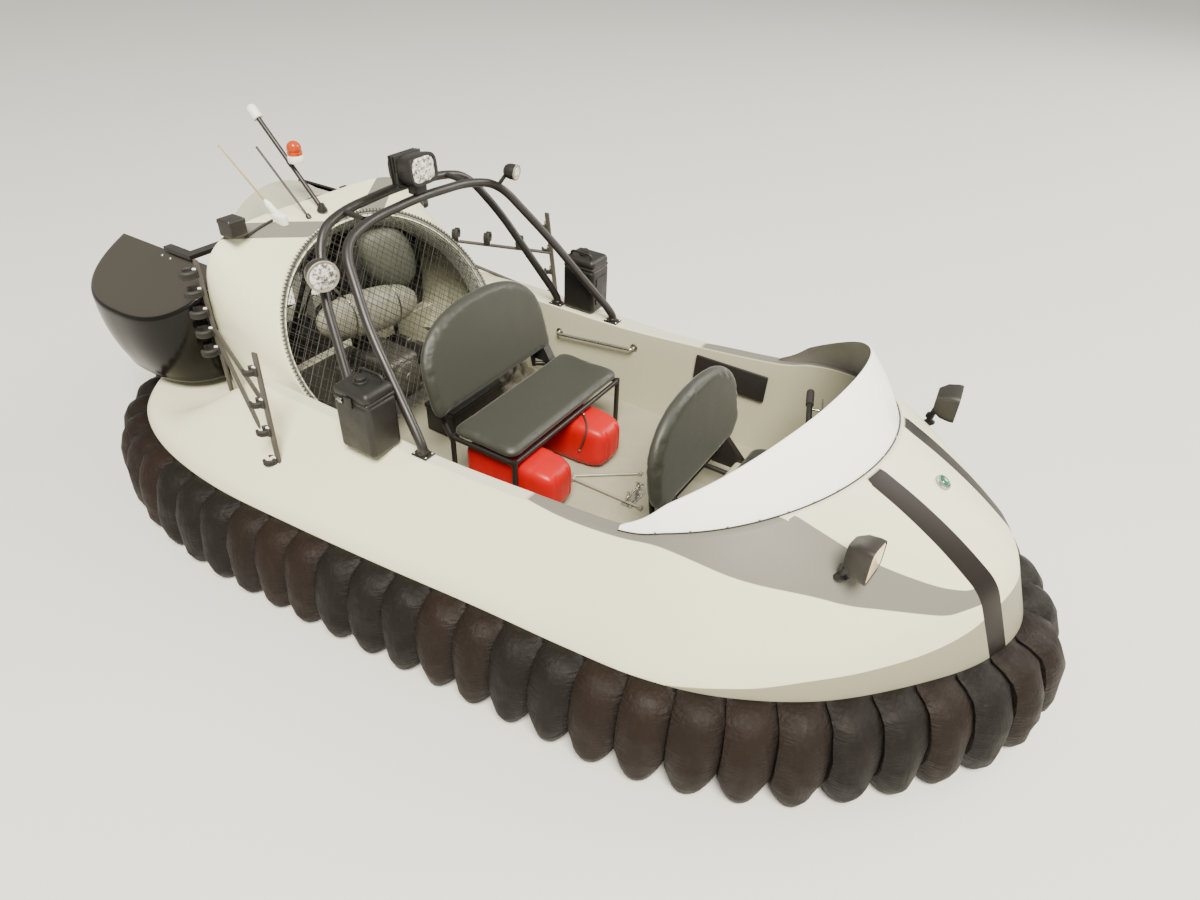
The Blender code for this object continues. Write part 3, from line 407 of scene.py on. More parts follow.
# Hull: the same loops as the solids, drawn finer, with every edge rounded
hullSet = {
    # outX, outY, chineIn, chineZ, lipX, lipY, lipZ from bow to stern
    "stations": (
        (1.962, 0.000, 0.094, 0.612, 1.400, 0.000, 0.878), (1.895, 0.235, 0.090, 0.600, 1.377, 0.184, 0.871),
        (1.740, 0.455, 0.080, 0.570, 1.310, 0.355, 0.850), (1.500, 0.700, 0.065, 0.520, 1.204, 0.502, 0.818),
        (1.230, 0.865, 0.050, 0.470, 1.065, 0.615, 0.774), (0.980, 0.945, 0.040, 0.435, 0.903, 0.686, 0.724),
        (0.720, 0.977, 0.035, 0.420, 0.730, 0.710, 0.670), (0.350, 1.005, 0.030, 0.420, 0.350, 0.710, 0.630),
        (-0.080, 1.046, 0.030, 0.420, -0.080, 0.710, 0.600),
        (-0.500, 1.078, 0.030, 0.420, -0.500, 0.710, 0.600),
        (-0.900, 1.096, 0.030, 0.420, -0.870, 0.710, 0.600),
        (-1.250, 1.062, 0.030, 0.415, -1.120, 0.710, 0.590),
        (-1.520, 0.982, 0.030, 0.405, -1.270, 0.690, 0.430),
        (-1.715, 0.860, 0.030, 0.400, -1.350, 0.580, 0.400),
        (-1.860, 0.660, 0.030, 0.400, -1.360, 0.380, 0.400),
        (-1.925, 0.340, 0.030, 0.400, -1.360, 0.190, 0.400),
        (-1.925, 0.000, 0.030, 0.400, -1.360, 0.000, 0.400)),
    "perHalf": 264,          # stations drawn on each side
    "bandZ": 0.362, "floorZ": 0.2203, "lipWidth": 0.060, "wallLean": 0.050,
    "rounding": (0, 0.006, 0.055, 0.45, 0.45, 0.014, 0.009, 0),
    "swooshLow": ((0.30, 0.69), (0.514, 0.717), (0.789, 0.716), (1.126, 0.689), (1.407, 0.574),
                  (1.560, 0.478), (1.709, 0.363), (1.780, 0.279), (1.858, 0.155), (1.95, 0.02)),
    "swooshHigh": ((0.0, 0.30), (1.10, 0.485), (1.232, 0.470), (1.407, 0.436), (1.529, 0.392),
                   (1.664, 0.321), (1.751, 0.256), (1.813, 0.187), (1.95, 0.12)),
    "bandTop": ((1.05, 0.362), (1.209, 0.386), (1.313, 0.400), (1.452, 0.428), (1.586, 0.441),
                (1.715, 0.457), (1.805, 0.486), (1.858, 0.520), (1.95, 0.575)),
    "stripe": (0.140, 0.227), "bandFrom": 1.05, "stripeFrom": 1.2, "bayShadeFrom": -0.70,
    "swooshTail": (0.35, 0.12), "swooshTip": 1.94,
    "crown": ((0.33, 0.022), (0.67, 0.020)), "fullRise": 0.15, "partWidth": 0.06,
}


def curveThrough(rows, steps):
    # Catmull-Rom: P = (2b + (c-a)t + (2a-5b+4c-d)t^2 + (3b-a-3c+d)t^3)/2
    rows = np.asarray(rows, float)
    a, b, c, d = rows[:-3, None], rows[1:-2, None], rows[2:-1, None], rows[3:, None]
    t = (np.arange(steps) / steps)[None, :, None]
    out = 0.5 * (2 * b + (c - a) * t + (2 * a - 5 * b + 4 * c - d) * t ** 2
                 + (3 * b - a - 3 * c + d) * t ** 3)
    return np.vstack([out.reshape(-1, rows.shape[1]), rows[-2:-1]])


def hullLoops(perHalf):
    # stations smoothed from bow to stern, spaced evenly along the skirt line, mirrored to a loop
    table = np.array(hullSet["stations"])
    flip = np.array([1, -1, 1, 1, 1, -1, 1])
    half = curveThrough(np.vstack([table[1:2] * flip, table, table[-2:-1] * flip]), 24)
    half[[0, -1]] *= [1, 0, 1, 1, 1, 0, 1]
    half = evenPoints(half, perHalf + 1, by=half[:, :2])
    return np.vstack([half, half[-2:0:-1] * flip])


def outward(loop):
    along = np.roll(loop, -1, 0) - np.roll(loop, 1, 0)
    out = np.stack([along[:, 1], -along[:, 0]], 1)
    return out / np.linalg.norm(out, axis=1)[:, None]


def roundedSection(rows, offsets, steps=6, straight=6):
    # rows: corners (K, L, 3) of every section at once; corners become quadratic arcs
    t = np.linspace(0, 1, steps + 1)[:, None, None]
    out, where, last = [rows[:1]], [0.0], rows[0]
    for k in range(1, len(rows) - 1):
        before, after = rows[k - 1] - rows[k], rows[k + 1] - rows[k]
        a = rows[k] + before * np.minimum(0.46, offsets[k] / np.linalg.norm(before, axis=1))[:, None]
        b = rows[k] + after * np.minimum(0.46, offsets[k] / np.linalg.norm(after, axis=1))[:, None]
        s = (np.arange(1, straight) / straight)[:, None, None]
        out.append(last + (a - last) * s)
        where += (k - 1 + 0.9 * s.ravel()).tolist()
        out.append((1 - t) ** 2 * a + 2 * t * (1 - t) * rows[k] + t ** 2 * b)
        where += (k + 0.1 * (t.ravel() - 0.5)).tolist()
        last = b
    s = (np.arange(1, straight + 1) / straight)[:, None, None]
    out.append(last + (rows[-1] - last) * s)
    where += (len(rows) - 2 + s.ravel()).tolist()
    return np.concatenate(out), np.array(where)


hull = hullLoops(hullSet["perHalf"])
skirtLine, skirtOut = hull[:, 0:2], outward(hull[:, 0:2])
lipLine, lipOut = hull[:, 4:6], outward(hull[:, 4:6])


def at(flat, height):
    return np.column_stack([flat, np.broadcast_to(height, len(flat))])


def deckCorners():
    # corners of the deck section at each station: skirt line, chine, crown, coaming, cockpit wall
    chine = skirtLine - skirtOut * hull[:, 2:3]
    rise = hull[:, 6] - hull[:, 3]
    rows = [at(skirtLine, hullSet["floorZ"]), at(skirtLine, hullSet["bandZ"]), at(chine, hull[:, 3])]
    for share, crown in hullSet["crown"]:
        height = hull[:, 3] + rise * share + crown * np.clip(rise / hullSet["fullRise"], 0, 1)
        rows.append(at(chine * (1 - share) + lipLine * share, height))
    lip = hullSet["lipWidth"]
    for inset, height in ((0, hull[:, 6]), (lip, hull[:, 6]), (lip + hullSet["wallLean"], hullSet["floorZ"])):
        rows.append(at(lipLine - lipOut * inset, height))
    return np.array(rows)


def makeDeck():
    # P(section, station) with painted fields in metres from each paint edge, positive inside it
    grid, where = roundedSection(deckCorners(), hullSet["rounding"])
    x, side, z = grid[..., 0], np.abs(grid[..., 1]), grid[..., 2]
    where = where[:, None] + 0 * x
    low, high, top = (np.array(hullSet[k]) for k in ("swooshLow", "swooshHigh", "bandTop"))
    low, high, top = (curveThrough(np.vstack([2 * k[0] - k[1], k, 2 * k[-1] - k[-2]]), 12)
                      for k in (low, high, top))
    part, start, taper = hullSet["partWidth"], *hullSet["swooshTail"]
    outer = (5.02 - where) * part
    lowSide = np.where(x > hullSet["swooshTip"], -0.1, np.interp(x, low[:, 0], low[:, 1])) - side
    band = np.where(x > hullSet["bandFrom"], np.interp(x, top[:, 0], top[:, 1]) - z, -0.1)
    inner, outside = hullSet["stripe"]
    stripe = np.minimum.reduce([side - inner, outside - side, x - hullSet["stripeFrom"], outer])
    swoosh = np.minimum.reduce([lowSide, side - np.interp(x, high[:, 0], high[:, 1]), outer + part,
                                (x - start) * taper, -band])
    wall = (where - 6.0) * part
    # the last field darkens the starboard cockpit wall aft of x -0.70: painted shade of the engine bay under
    # the cowl
    buildPiece("deckMoulding", gridShape(grid, closeColumns=True, closeRows=True), gelcoat,
               replaces=["deck"],
               fields={"swoosh": swoosh, "band": band, "stripe": stripe, "inside": wall,
                       "coaming": np.minimum(where - 5.0, 6.0 - where) * part,
                       "bayShade": np.minimum.reduce([wall, hullSet["bayShadeFrom"] - x, -grid[..., 1]])})


makeDeck()
print("deck made")

# Skirt: one lobe of coated cloth after another, each lapping over the one ahead of it
skirtSet = {
    "section": ((0.0003, 0.3617), (0.024, 0.3675), (0.060, 0.3600), (0.098, 0.337), (0.126, 0.295),
                (0.147, 0.235), (0.158, 0.165), (0.160, 0.115), (0.154, 0.060), (0.138, 0.020),
                (0.112, 0.0), (0.060, 0.0), (-0.0997, 0.0), (-0.0997, 0.2197), (0.0003, 0.2197)),
    "fingers": 66, "across": 18, "flare": 0.2375, "lap": 0.026, "groove": 0.042, "lift": 1.15,
    "tuck": 0.034, "scallop": 0.042, "brownShare": 0.42, "brown": (0.5, 0.95), "plain": (0, 0.12),
    "pieces": (("skirt_bow", -7, 7), ("skirt_port", 8, 25), ("skirt_stern", 26, 40),
               ("skirt_starboard", 41, 58)),
    "seed": 11,
}


def makeSkirtCloth():
    # coated nylon: matt, charcoal and dark brown lengths mixed, dust on the bulge, painted shade near black in
    # the seams between lobes and on the inner faces
    made = weathered("coatedNylon", "#110E0B", "#0B0907", 60, 1.6, 0.0005, (0.52, 0.68),
                     Specular_IOR_Level=0.18)
    tree = made.node_tree
    shader = tree.nodes["Principled BSDF"]
    under = shader.inputs["Base Color"].links[0].from_socket
    shade = addNode(tree, "ShaderNodeAttribute", attribute_name="shade")
    seamShade = addNode(tree, "ShaderNodeAttribute", attribute_name="seamShade")
    brown = addNode(tree, "ShaderNodeMix", {0: shade.outputs["Fac"], 6: under, 7: linear("#1A0F09")},
                    data_type="RGBA")
    # painted shade: near black where the seam field is up
    dark = addNode(tree, "ShaderNodeMix", {0: seamShade.outputs["Fac"], 6: brown.outputs[2],
                                           7: linear("#0F0C0B")}, data_type="RGBA")
    place = addNode(tree, "ShaderNodeTexCoord").outputs["Object"]
    tall = addNode(tree, "ShaderNodeMapping", {"Vector": place, "Scale": (60.0, 60.0, 6.0)})
    streak = addNode(tree, "ShaderNodeTexNoise", {"Vector": tall.outputs["Vector"], "Scale": 1.0,
                                                  "Detail": 4.0})
    dust = addNode(tree, "ShaderNodeMapRange", {"Value": streak.outputs["Fac"], "From Min": 0.52,
                                                "From Max": 0.80, "To Min": 0.0, "To Max": 0.22})
    dusty = addNode(tree, "ShaderNodeMix", {0: dust.outputs["Result"], 6: dark.outputs[2],
                                            7: linear("#2A241F")}, data_type="RGBA")
    tree.links.new(dusty.outputs[2], shader.inputs["Base Color"])
    crumple = addNode(tree, "ShaderNodeBump", {"Height": streak.outputs["Fac"], "Distance": 0.004,
                                               "Strength": 0.8,
                                               "Normal": shader.inputs["Normal"].links[0].from_socket})
    # small level puckers where the cloth is gathered along each seam
    gather = addNode(tree, "ShaderNodeAttribute", attribute_name="gather")
    level = addNode(tree, "ShaderNodeMapping", {"Vector": place, "Scale": (22.0, 22.0, 120.0)})
    ridges = addNode(tree, "ShaderNodeTexNoise", {"Vector": level.outputs["Vector"], "Scale": 1.0,
                                                  "Detail": 3.0})
    drawn = addNode(tree, "ShaderNodeMath", {0: ridges.outputs["Fac"], 1: gather.outputs["Fac"]},
                    operation="MULTIPLY")
    pucker = addNode(tree, "ShaderNodeBump", {"Height": drawn.outputs[0], "Distance": 0.009, "Strength": 0.9,
                                              "Normal": crumple.outputs["Normal"]})
    tree.links.new(pucker.outputs["Normal"], shader.inputs["Normal"])
    return made


def makeSkirt(cloth):
    # P(a, t) = line(a) + out(a) (reach(t) - dip(a)), dip steep ahead of each finger, slight behind it
    use, total = skirtSet, skirtSet["fingers"]
    rng = np.random.default_rng(use["seed"])
    section = np.array(use["section"])
    t, outside = section[None, :, 1], section[:, 0] > 0.01
    loop = np.vstack([skirtLine, skirtLine[:1]])
    out = np.vstack([skirtOut, skirtOut[:1]])
    run = runAlong(loop)
    pitch = run[-1] / total
    s = (1 - np.cos(np.linspace(0, pi, use["across"]))) / 2
    brown = np.where(rng.random(total) < use["brownShare"], rng.uniform(*use["brown"], total),
                     rng.uniform(*use["plain"], total))
    wobble = rng.uniform(-1, 1, (total, 4))
    for name, first, last in use["pieces"]:
        finger = np.repeat(np.arange(first, last + 1), use["across"])
        across = np.tile(s, last - first + 1)
        place = np.mod((finger + across - 0.5) * pitch, run[-1])
        centre, normal = (np.stack([np.interp(place, run, line[:, k]) for k in (0, 1)], 1)
                          for line in (loop, out))
        ahead = np.where(centre[:, 1] < 0, across, 1 - across)     # 1 at the edge nearer the bow
        dip = (use["lap"] * np.clip(1 - ahead / 0.45, 0, 1) ** 2
               + use["groove"] * np.clip((ahead - 0.42) / 0.58, 0, 1) ** 2)[:, None]
        bow = 1 + use["flare"] * np.clip((centre[:, 0] - 1.2) / 0.76, 0, 1)
        w = wobble[finger % total]
        ripple = (0.0035 * np.sin(t * 30 + 3 * w[:, :1] + across[:, None] * 5)
                  + 0.003 * np.sin(t * 55 + 5 * w[:, 1:2] - across[:, None] * 9) * w[:, 2:3])
        soft = np.clip((0.36 - t) / 0.05, 0, 1) * np.clip(t / 0.05, 0, 1)
        over = np.clip((t - 0.30) / 0.07, 0, 1)
        seam = np.abs(2 * across - 1)[:, None] ** 3
        low = np.clip(1 - t / 0.20, 0, 1)
        less = dip * (1 - 0.55 * over) - ripple * soft + 0.004 * soft + use["tuck"] * seam * low
        reach = np.where(outside, np.maximum(section[:, 0] * bow[:, None] - less, 0.004), section[:, 0])
        lift = (use["lift"] * dip * np.clip(1 - t / 0.11, 0, 1) ** 1.5 + use["scallop"] * seam * low ** 1.2
                - 0.62 * dip * over)
        height = t + np.where(outside, lift, 0)
        grid = np.concatenate([centre[:, None] + reach[..., None] * normal[:, None], height[..., None]], -1)
        # painted shade in the seam at each lobe's bow-side edge and on the inner faces
        seamShade = np.clip((ahead - 0.80) / 0.2, 0, 1) ** 1.5 * 0.9
        seamShade = np.maximum(seamShade[:, None], np.where(section[:, 0] < 0.02, 0.85, 0.0)[None])
        buildPiece(name + "_fingers", solidShape(grid), cloth, replaces=[name], crease=50,
                   fields={"seamShade": seamShade, "shade": np.broadcast_to(brown[finger % total][:, None], seamShade.shape),
                           "gather": np.broadcast_to(seam ** 0.5 * np.clip(t / 0.05, 0, 1), seamShade.shape)})


makeSkirt(makeSkirtCloth())
print("skirt made")

# Cowl: oval inlet rim in front, square shoulders behind, bulkhead round the fan duct
cowlSet = {
    # half width, half height, power, centre height, x at z 0.6, rake, flare at the foot
    "rings": ((0.623, 0.488, 2.0, 0.620, -0.90, 0.58, 0.0), (0.650, 0.510, 2.8, 0.630, -1.16, 0.25, 0.05),
              (0.635, 0.450, 5.0, 0.700, -1.38, 0.0, 0.0)),
    "foot": 0.30, "wall": 0.03, "count": 160, "rounding": (0, 0.010, 0.12, 0.02, 0.006, 0.10, 0),
    "ductZ": 0.79, "ductIn": 0.345, "ductOut": 0.360, "ductSides": 128,
    "roofLow": (0.24, 1.45), "roofHigh": (0.14, 1.62),
}


def cowlRing(part, inset, angle=None):
    # superellipse y = w |cos|^(2/p), z = c + h |sin|^(2/p), leaning aft as it rises
    wide, high, power, centre, x, rake, flare = part
    wide, high = wide - inset, high - inset
    if angle is None:
        low = math.asin(min(1.0, ((centre - cowlSet["foot"]) / high)) ** (power / 2))
        angle = np.linspace(-low, pi + low, cowlSet["count"])
    y = bent(np.cos(angle), 2 / power) * wide
    z = bent(np.sin(angle), 2 / power) * high + centre
    y = y + np.sign(y) * flare * np.clip((0.72 - z) / 0.14, 0, 1) ** 2
    return np.column_stack([x - rake * (z - 0.60), y, z])


def ductRing(x, radius):
    a = circle(cowlSet["ductSides"])
    return np.column_stack([np.full(len(a), x), radius * np.cos(a), radius * np.sin(a) + cowlSet["ductZ"]])


def makeCowl():
    rim, shoulder, rear = cowlSet["rings"]
    wall, sides, inner, outer = (cowlSet[k] for k in ("wall", "ductSides", "ductIn", "ductOut"))
    rows = [cowlRing(ring, inset) for ring, inset in ((rim, wall), (rim, 0), (shoulder, 0), (rear, 0),
                                                      (rear, wall), (shoulder, wall), (rim, wall))]
    grid, where = roundedSection(np.array(rows), cowlSet["rounding"], steps=8, straight=8)
    x, side, z = grid[..., 0], np.abs(grid[..., 1]), grid[..., 2]
    (low, lowRun), (high, highRun) = cowlSet["roofLow"], cowlSet["roofHigh"]
    where = where[:, None] + 0 * x
    # a darker band along the roof's shoulder, drawn in the swoosh colour: partly a painted stripe, partly
    # painted shade of the step at the roof's edge
    stripe = np.minimum.reduce([low + lowRun * (-1.18 - x) - side, side - high - highRun * (-1.22 - x),
                                (where - 0.98) * 0.2, (3.02 - where) * 0.2, z - 0.98])
    fields = {key: np.full_like(x, -0.1) for key in ("band", "stripe", "coaming", "bayShade")}
    fields |= {"swoosh": stripe, "inside": np.minimum(where - 3.4, 6.3 - where) * 0.1}
    buildPiece("cowlShell", gridShape(grid, capColumns=True), gelcoat, replaces=["engine_cowl"],
               crease=30, fields=fields)
    hole, edge = ductRing(rear[4], inner), cowlRing(rear, wall - 0.001, circle(sides))
    plate = [edge, hole, hole + [wall, 0, 0], edge + [wall, 0, 0]]
    # the bulkhead takes the dark iron as painted shade of the engine bay
    buildPiece("cowlBulkhead", gridShape(plate, closeRows=True, closeColumns=True), sootIronAndShade,
               crease=30)
    rings = [ductRing(rear[4] + x, radius) for radius, x in
             ((outer, 0.0), (outer, -0.255), (outer + 0.008, -0.270), (outer + 0.008, -0.2795),
              (inner, -0.2795), (inner, 0.0))]
    # inside of the fan duct: dark iron as painted shade in the duct
    buildPiece("fanDuct", gridShape(rings, closeRows=True, closeColumns=True), gelcoatInside,
               replaces=["fan_duct"], crease=30, inside=sootIronAndShade,
               splitAt=lambda faces: (faces[:, 0] // sides >= 4).astype(np.int32))


makeCowl()
print("cowl made")

# Inlet: perforated lip turned in round the rim, lashings, and a net of thin cord across it
netSet = {
    "fine": (0.027, 0.0013, -0.010), "coarse": (0.048, 0.0011, 0.006),    # pitch, cord radius, depth
    "lip": ((0.006, 0.010), (0.022, 0.004), (0.040, -0.012), (0.055, -0.040), (0.060, -0.070)),
    "dot": 0.0105, "lashings": 150,
}


def rimPlace():
    # the rim's own plane: x square to it and forward, y across, z up along the slope
    _, _, _, centre, x, rake, _ = cowlSet["rings"][0]
    return (Matrix.Translation((x - rake * (centre - 0.60), 0, centre))
            @ Matrix.Rotation(-math.atan(rake), 4, "Y"))


def rimArc(inset, count):
    # (0, p, q) points of the rim's ellipse, from foot to foot, in its own plane
    wide, high, _, centre, _, rake, _ = cowlSet["rings"][0]
    wide, slant = wide - inset, high / math.cos(math.atan(rake)) - inset
    foot = (centre - cowlSet["foot"]) / math.cos(math.atan(rake))
    low = math.asin(min(1.0, foot / slant))
    angle = np.linspace(-low, pi + low, count)
    return np.column_stack([np.zeros(count), wide * np.cos(angle), slant * np.sin(angle)]), wide, slant, foot


def makeInletLip():
    # pierced alloy strip: round dark holes in a square pattern along it
    lip = weathered("perforatedLip", "#96978C", "#7C7D73", 120, 2.0, 0.0002, (0.4, 0.55))
    tree = lip.node_tree
    shader = tree.nodes["Principled BSDF"]
    along, across = (addNode(tree, "ShaderNodeAttribute", attribute_name=key) for key in ("along", "across"))
    flat = addNode(tree, "ShaderNodeCombineXYZ", {"X": along.outputs["Fac"], "Y": across.outputs["Fac"]})
    dots = addNode(tree, "ShaderNodeTexVoronoi", {"Vector": flat.outputs[0], "Scale": 1 / netSet["dot"],
                                                  "Randomness": 0.0}, voronoi_dimensions="2D")
    hole = addNode(tree, "ShaderNodeMapRange", {"Value": dots.outputs["Distance"], "From Min": 0.24,
                                                "From Max": 0.34, "To Min": 1.0, "To Max": 0.0})
    under = shader.inputs["Base Color"].links[0].from_socket
    pierced = addNode(tree, "ShaderNodeMix", {0: hole.outputs["Result"], 6: under,
                                              7: linear("#2B2A27")}, data_type="RGBA")
    tree.links.new(pierced.outputs[2], shader.inputs["Base Color"])
    rows = np.array([rimArc(inset, 260)[0] + [depth, 0, 0] for inset, depth in netSet["lip"]])
    length, wide = runAlong(rows[1]), runAlong(rows[:, 130])
    buildPiece("inletLip", moved(gridShape(rows), rimPlace()), lip,
               fields={"along": np.broadcast_to(length[None], rows.shape[:2]),
                       "across": np.broadcast_to(wide[:, None], rows.shape[:2])})


def makeInlet():
    makeInletLip()
    arc, wide, slant, foot = rimArc(0.004, netSet["lashings"])
    ties = []
    for spot, out in zip(arc, arc / np.linalg.norm(arc, axis=1)[:, None]):
        path = np.array([spot - out * 0.009 + [0.009, 0, 0], spot - out * 0.003 + [0.0125, 0, 0],
                         spot + out * 0.003 + [0.006, 0, 0]])
        ties.append(moved(tubeShape(path, 0.0020, 6), rimPlace()))
    buildPiece("netLashings", ties, webbing)
    fine, coarse = (netCords(wide - 0.012, slant - 0.012, foot, *netSet[key]) for key in ("fine", "coarse"))
    buildPiece("inletMesh", fine, netFine, crease=80)
    edge = tubeShape(rimArc(0.014, 160)[0] + [0.006, 0, 0], 0.0035, 8)
    buildPiece("inletNet", coarse + [moved(edge, rimPlace())], netCord, replaces=["inlet_guard"],
               crease=80)


def netCords(a, b, foot, pitch, cord, depth):
    # cords along p+q = c and p-q = c, cut by the ellipse (p/a)^2 + (q/b)^2 = 1 and by the foot
    offsets = np.arange(-60, 61) * pitch * math.sqrt(2)
    c = offsets[np.abs(offsets) < math.hypot(a, b) * 0.985]
    k = 1 / a ** 2 + 1 / b ** 2
    mid = c / (b ** 2 * k)
    root = np.sqrt(np.maximum(mid ** 2 - (c ** 2 / b ** 2 - 1) / k, 0))
    p = np.stack([mid - root, mid + root])
    cut = np.clip(c - p, -foot + 0.004, None)
    p = c - cut
    keep = np.abs(p[1] - p[0]) > 0.02
    cords = []
    for sign in (1, -1):
        ends = np.stack([np.full_like(p[:, keep], depth + 0.0012 * sign), p[:, keep] * sign, cut[:, keep]], -1)
        runs = ends[0] + (ends[1] - ends[0]) * np.linspace(0, 1, 7)[:, None, None]
        runs[..., 0] -= 0.012 * (1 - (runs[..., 1] / a) ** 2 - (runs[..., 2] / b) ** 2).clip(0)
        side, fore = np.array([0, 1.0, sign]) / math.sqrt(2), np.array([1.0, 0, 0])
        square = np.array([side, fore, -side, -fore]) * cord
        cords += [moved(solidShape(runs[:, line, None] + square[None]), rimPlace())
                  for line in range(runs.shape[1])]
    return cords


makeInlet()
print("inlet made")

# Roll hoops: 38 mm welded tube on bolted foot plates
hoopSet = {
    "radius": 0.019, "bend": 0.06, "footX": {"front": -0.146, "rear": -0.480}, "lipLine": 0.68,
    "front": ((-0.46, 0.58, 0.99), (-0.665, 0.47, 1.235), (-0.700, 0.30, 1.275), (-0.703, 0.0, 1.289)),
    "rear": ((-0.727, 0.55, 1.06), (-0.822, 0.44, 1.245), (-0.838, 0.30, 1.285), (-0.842, 0.0, 1.300)),
    "plate": (0.075, 0.055, 0.006), "collar": ((0.0225, 0.0), (0.0225, 0.012), (0.0195, 0.016)),
}


def screwHeads(spots, axis, radius, height):
    # small domes: r = R cos a, h = H sin a
    a = np.linspace(0, pi / 2 * 0.96, 4)
    profile = np.column_stack([radius * np.cos(a), height * np.sin(a)])
    return [turnedShape(profile, spot, axis, 10) for spot in spots]


def hoopHalf(name):
    foot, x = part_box("roll_hoop_" + name)[0].z, hoopSet["footX"][name]
    start = [(x, hoopSet["lipLine"], foot + rise) for rise in (0, 0.04)]
    return np.array(start + list(hoopSet[name]))


def makeHoops():
    for name in ("front", "rear"):
        half = hoopHalf(name)
        path = np.vstack([half, half[-2::-1] * [1, -1, 1]])
        shapes, bolts = [tubeShape(roundedPath(path, hoopSet["bend"] * 1.6, 14), hoopSet["radius"], 28)], []
        for side, _ in sideNames:
            foot = half[0] * [1, side, 1]
            shapes.append(roundedBox(foot + [0, 0, 0.0035], hoopSet["plate"], 0.0028))
            shapes.append(turnedShape(hoopSet["collar"], foot + [0, 0, 0.005], (0, 0, 1), 28))
            bolts += screwHeads([foot + [dx, dy, 0.0062] for dx in (-0.029, 0.029) for dy in (-0.018, 0.018)],
                                (0, 0, 1), 0.0055, 0.005)
        buildPiece("hoopTube_" + name, shapes, powderCoat, replaces=["roll_hoop_" + name])
        buildPiece("hoopBolts_" + name, bolts, stainless)


makeHoops()
for name in ("hoop_link_port", "hoop_link_starboard", "rear_seat_frame",
             "bucket_foot_port", "bucket_foot_starboard", "bucket_arm_port", "bucket_arm_starboard",
             "steering_post", "stator"):
    dressNode(name, powderCoat)
dressNode("hull_pan", gritPaint)
print("hoops and frames made")

# Side boxes: moulded cases standing on the coaming, lid on top with a cap, handle and latch
caseSet = {
    "radius": 0.022, "lidHigh": 0.05, "gap": 0.0025,
    "ribsAt": {"port": (-0.05, 0.0, 0.05), "starboard": ()}, "endRibs": {"port": (-1, 1), "starboard": ()},
    "cap": ((0.028, 0), (0.028, 0.006), (0.023, 0.009), (0.022, 0.022), (0.018, 0.025)),
    "handle": ((-0.06, -0.004), (-0.055, 0.022), (0.055, 0.022), (0.06, -0.004)),
}


def makeSideBoxes():
    radius, lid, gap = caseSet["radius"], caseSet["lidHigh"], caseSet["gap"]
    for side, name in sideNames:
        low, high, centre, size = boxOf("side_box_" + name)
        x, y, top = centre.x, centre.y, high.z
        outer = y + side * size.y / 2
        shapes = [roundedBox((x, y, (low.z + top - lid) / 2), (size.x, size.y, size.z - lid), radius, 6),
                  roundedBox((x, y, top - (lid - gap) / 2), (size.x, size.y, lid - gap), radius, 6,
                             taper=0.05),
                  roundedBox((x, y, top - lid), (size.x * 0.965, size.y * 0.965, 0.02), 0.008)]
        middle, tall = centre.z - lid / 2, size.z - lid - 0.09
        shapes += [roundedBox((x + dx, outer + side * 0.0012, middle), (0.012, 0.006, tall), 0.0025)
                   for dx in caseSet["ribsAt"][name]]
        shapes += [roundedBox((x + end * (size.x / 2 + 0.0012), y, middle), (0.006, 0.09, tall), 0.0025)
                   for end in caseSet["endRibs"][name]]
        buildPiece("sideCase_" + name, shapes, mouldedPlastic, replaces=["side_box_" + name])
        cap = turnedShape(caseSet["cap"], (x - 0.01, y, top - 0.003), (0, 0, 1), 28)
        grip = [(x + dx, y - side * 0.045, top + dz) for dx, dz in caseSet["handle"]]
        latch = roundedBox((x, outer + side * 0.004, top - lid), (0.035, 0.01, 0.045), 0.004)
        buildPiece("sideCaseCap_" + name, [cap, tubeShape(roundedPath(grip, 0.02), 0.006, 10), latch],
                   mouldedPlastic)
        hinge = roundedBox((x - 0.045, outer + side * 0.0025, top - lid - 0.004), (0.02, 0.007, 0.02), 0.003)
        pin = tubeShape([(x + dx, outer + side * 0.007, top - lid) for dx in (-0.058, -0.032)], 0.003, 10)
        buildPiece("sideCaseHasp_" + name, [hinge, pin], stainless)


makeSideBoxes()

# Lamps: a spotlight on the front hoop, a round lamp, a small corner lamp and two headlights
lampSet = {
    # shells and lenses: distance forward and share of the outline
    "headlight": {
        "x": 1.455, "y": 0.51, "stalkX": 1.42, "turn": 0.12, "size": (0.090, 0.116, 0.129),
        "shell": ((-0.034, 0.30), (-0.034, 0.60), (-0.030, 0.66), (-0.004, 0.90), (0.030, 0.99), (0.044, 0.99),
                  (0.048, 0.985), (0.049, 0.955), (0.042, 0.94), (0.024, 0.93)),
        "lens": ((0.038, 0.945), (0.044, 0.935), (0.048, 0.85), (0.0505, 0.6), (0.052, 0.3), (0.0525, 0.05))},
    "spot": {
        "shell": ((-0.073, 0.35), (-0.073, 0.72), (-0.066, 0.82), (0.030, 0.97), (0.052, 1.0), (0.068, 1.0),
                  (0.073, 0.97), (0.073, 0.84), (0.060, 0.80), (0.045, 0.80)),
        "lens": ((0.060, 0.81), (0.068, 0.80), (0.0725, 0.6), (0.0745, 0.3), (0.075, 0.05)),
        "ribs": (-0.045, -0.028, -0.011)},
    "round": {"back": (-0.720, -0.565, 1.157), "face": (-0.655, -0.590, 1.155), "radius": 0.062},
    "corner": {"back": (-0.635, 0.485, 1.297), "face": (-0.575, 0.497, 1.292), "radius": 0.036},
    "rim": ((0.97, 0.86), (1.0, 0.88), (1.0, 0.99), (0.96, 1.0), (0.90, 0.99), (0.88, 0.92)),
    "ring": ((0.985, 0.90), (1.006, 0.93), (1.003, 1.0), (0.97, 1.02), (0.93, 1.0)),
    "nose": {"tilt": (0.494, 0.0, 0.869),
             "ring": ((0.0285, 0.0), (0.0285, 0.004), (0.026, 0.010), (0.021, 0.012), (0.020, 0.007))},
}


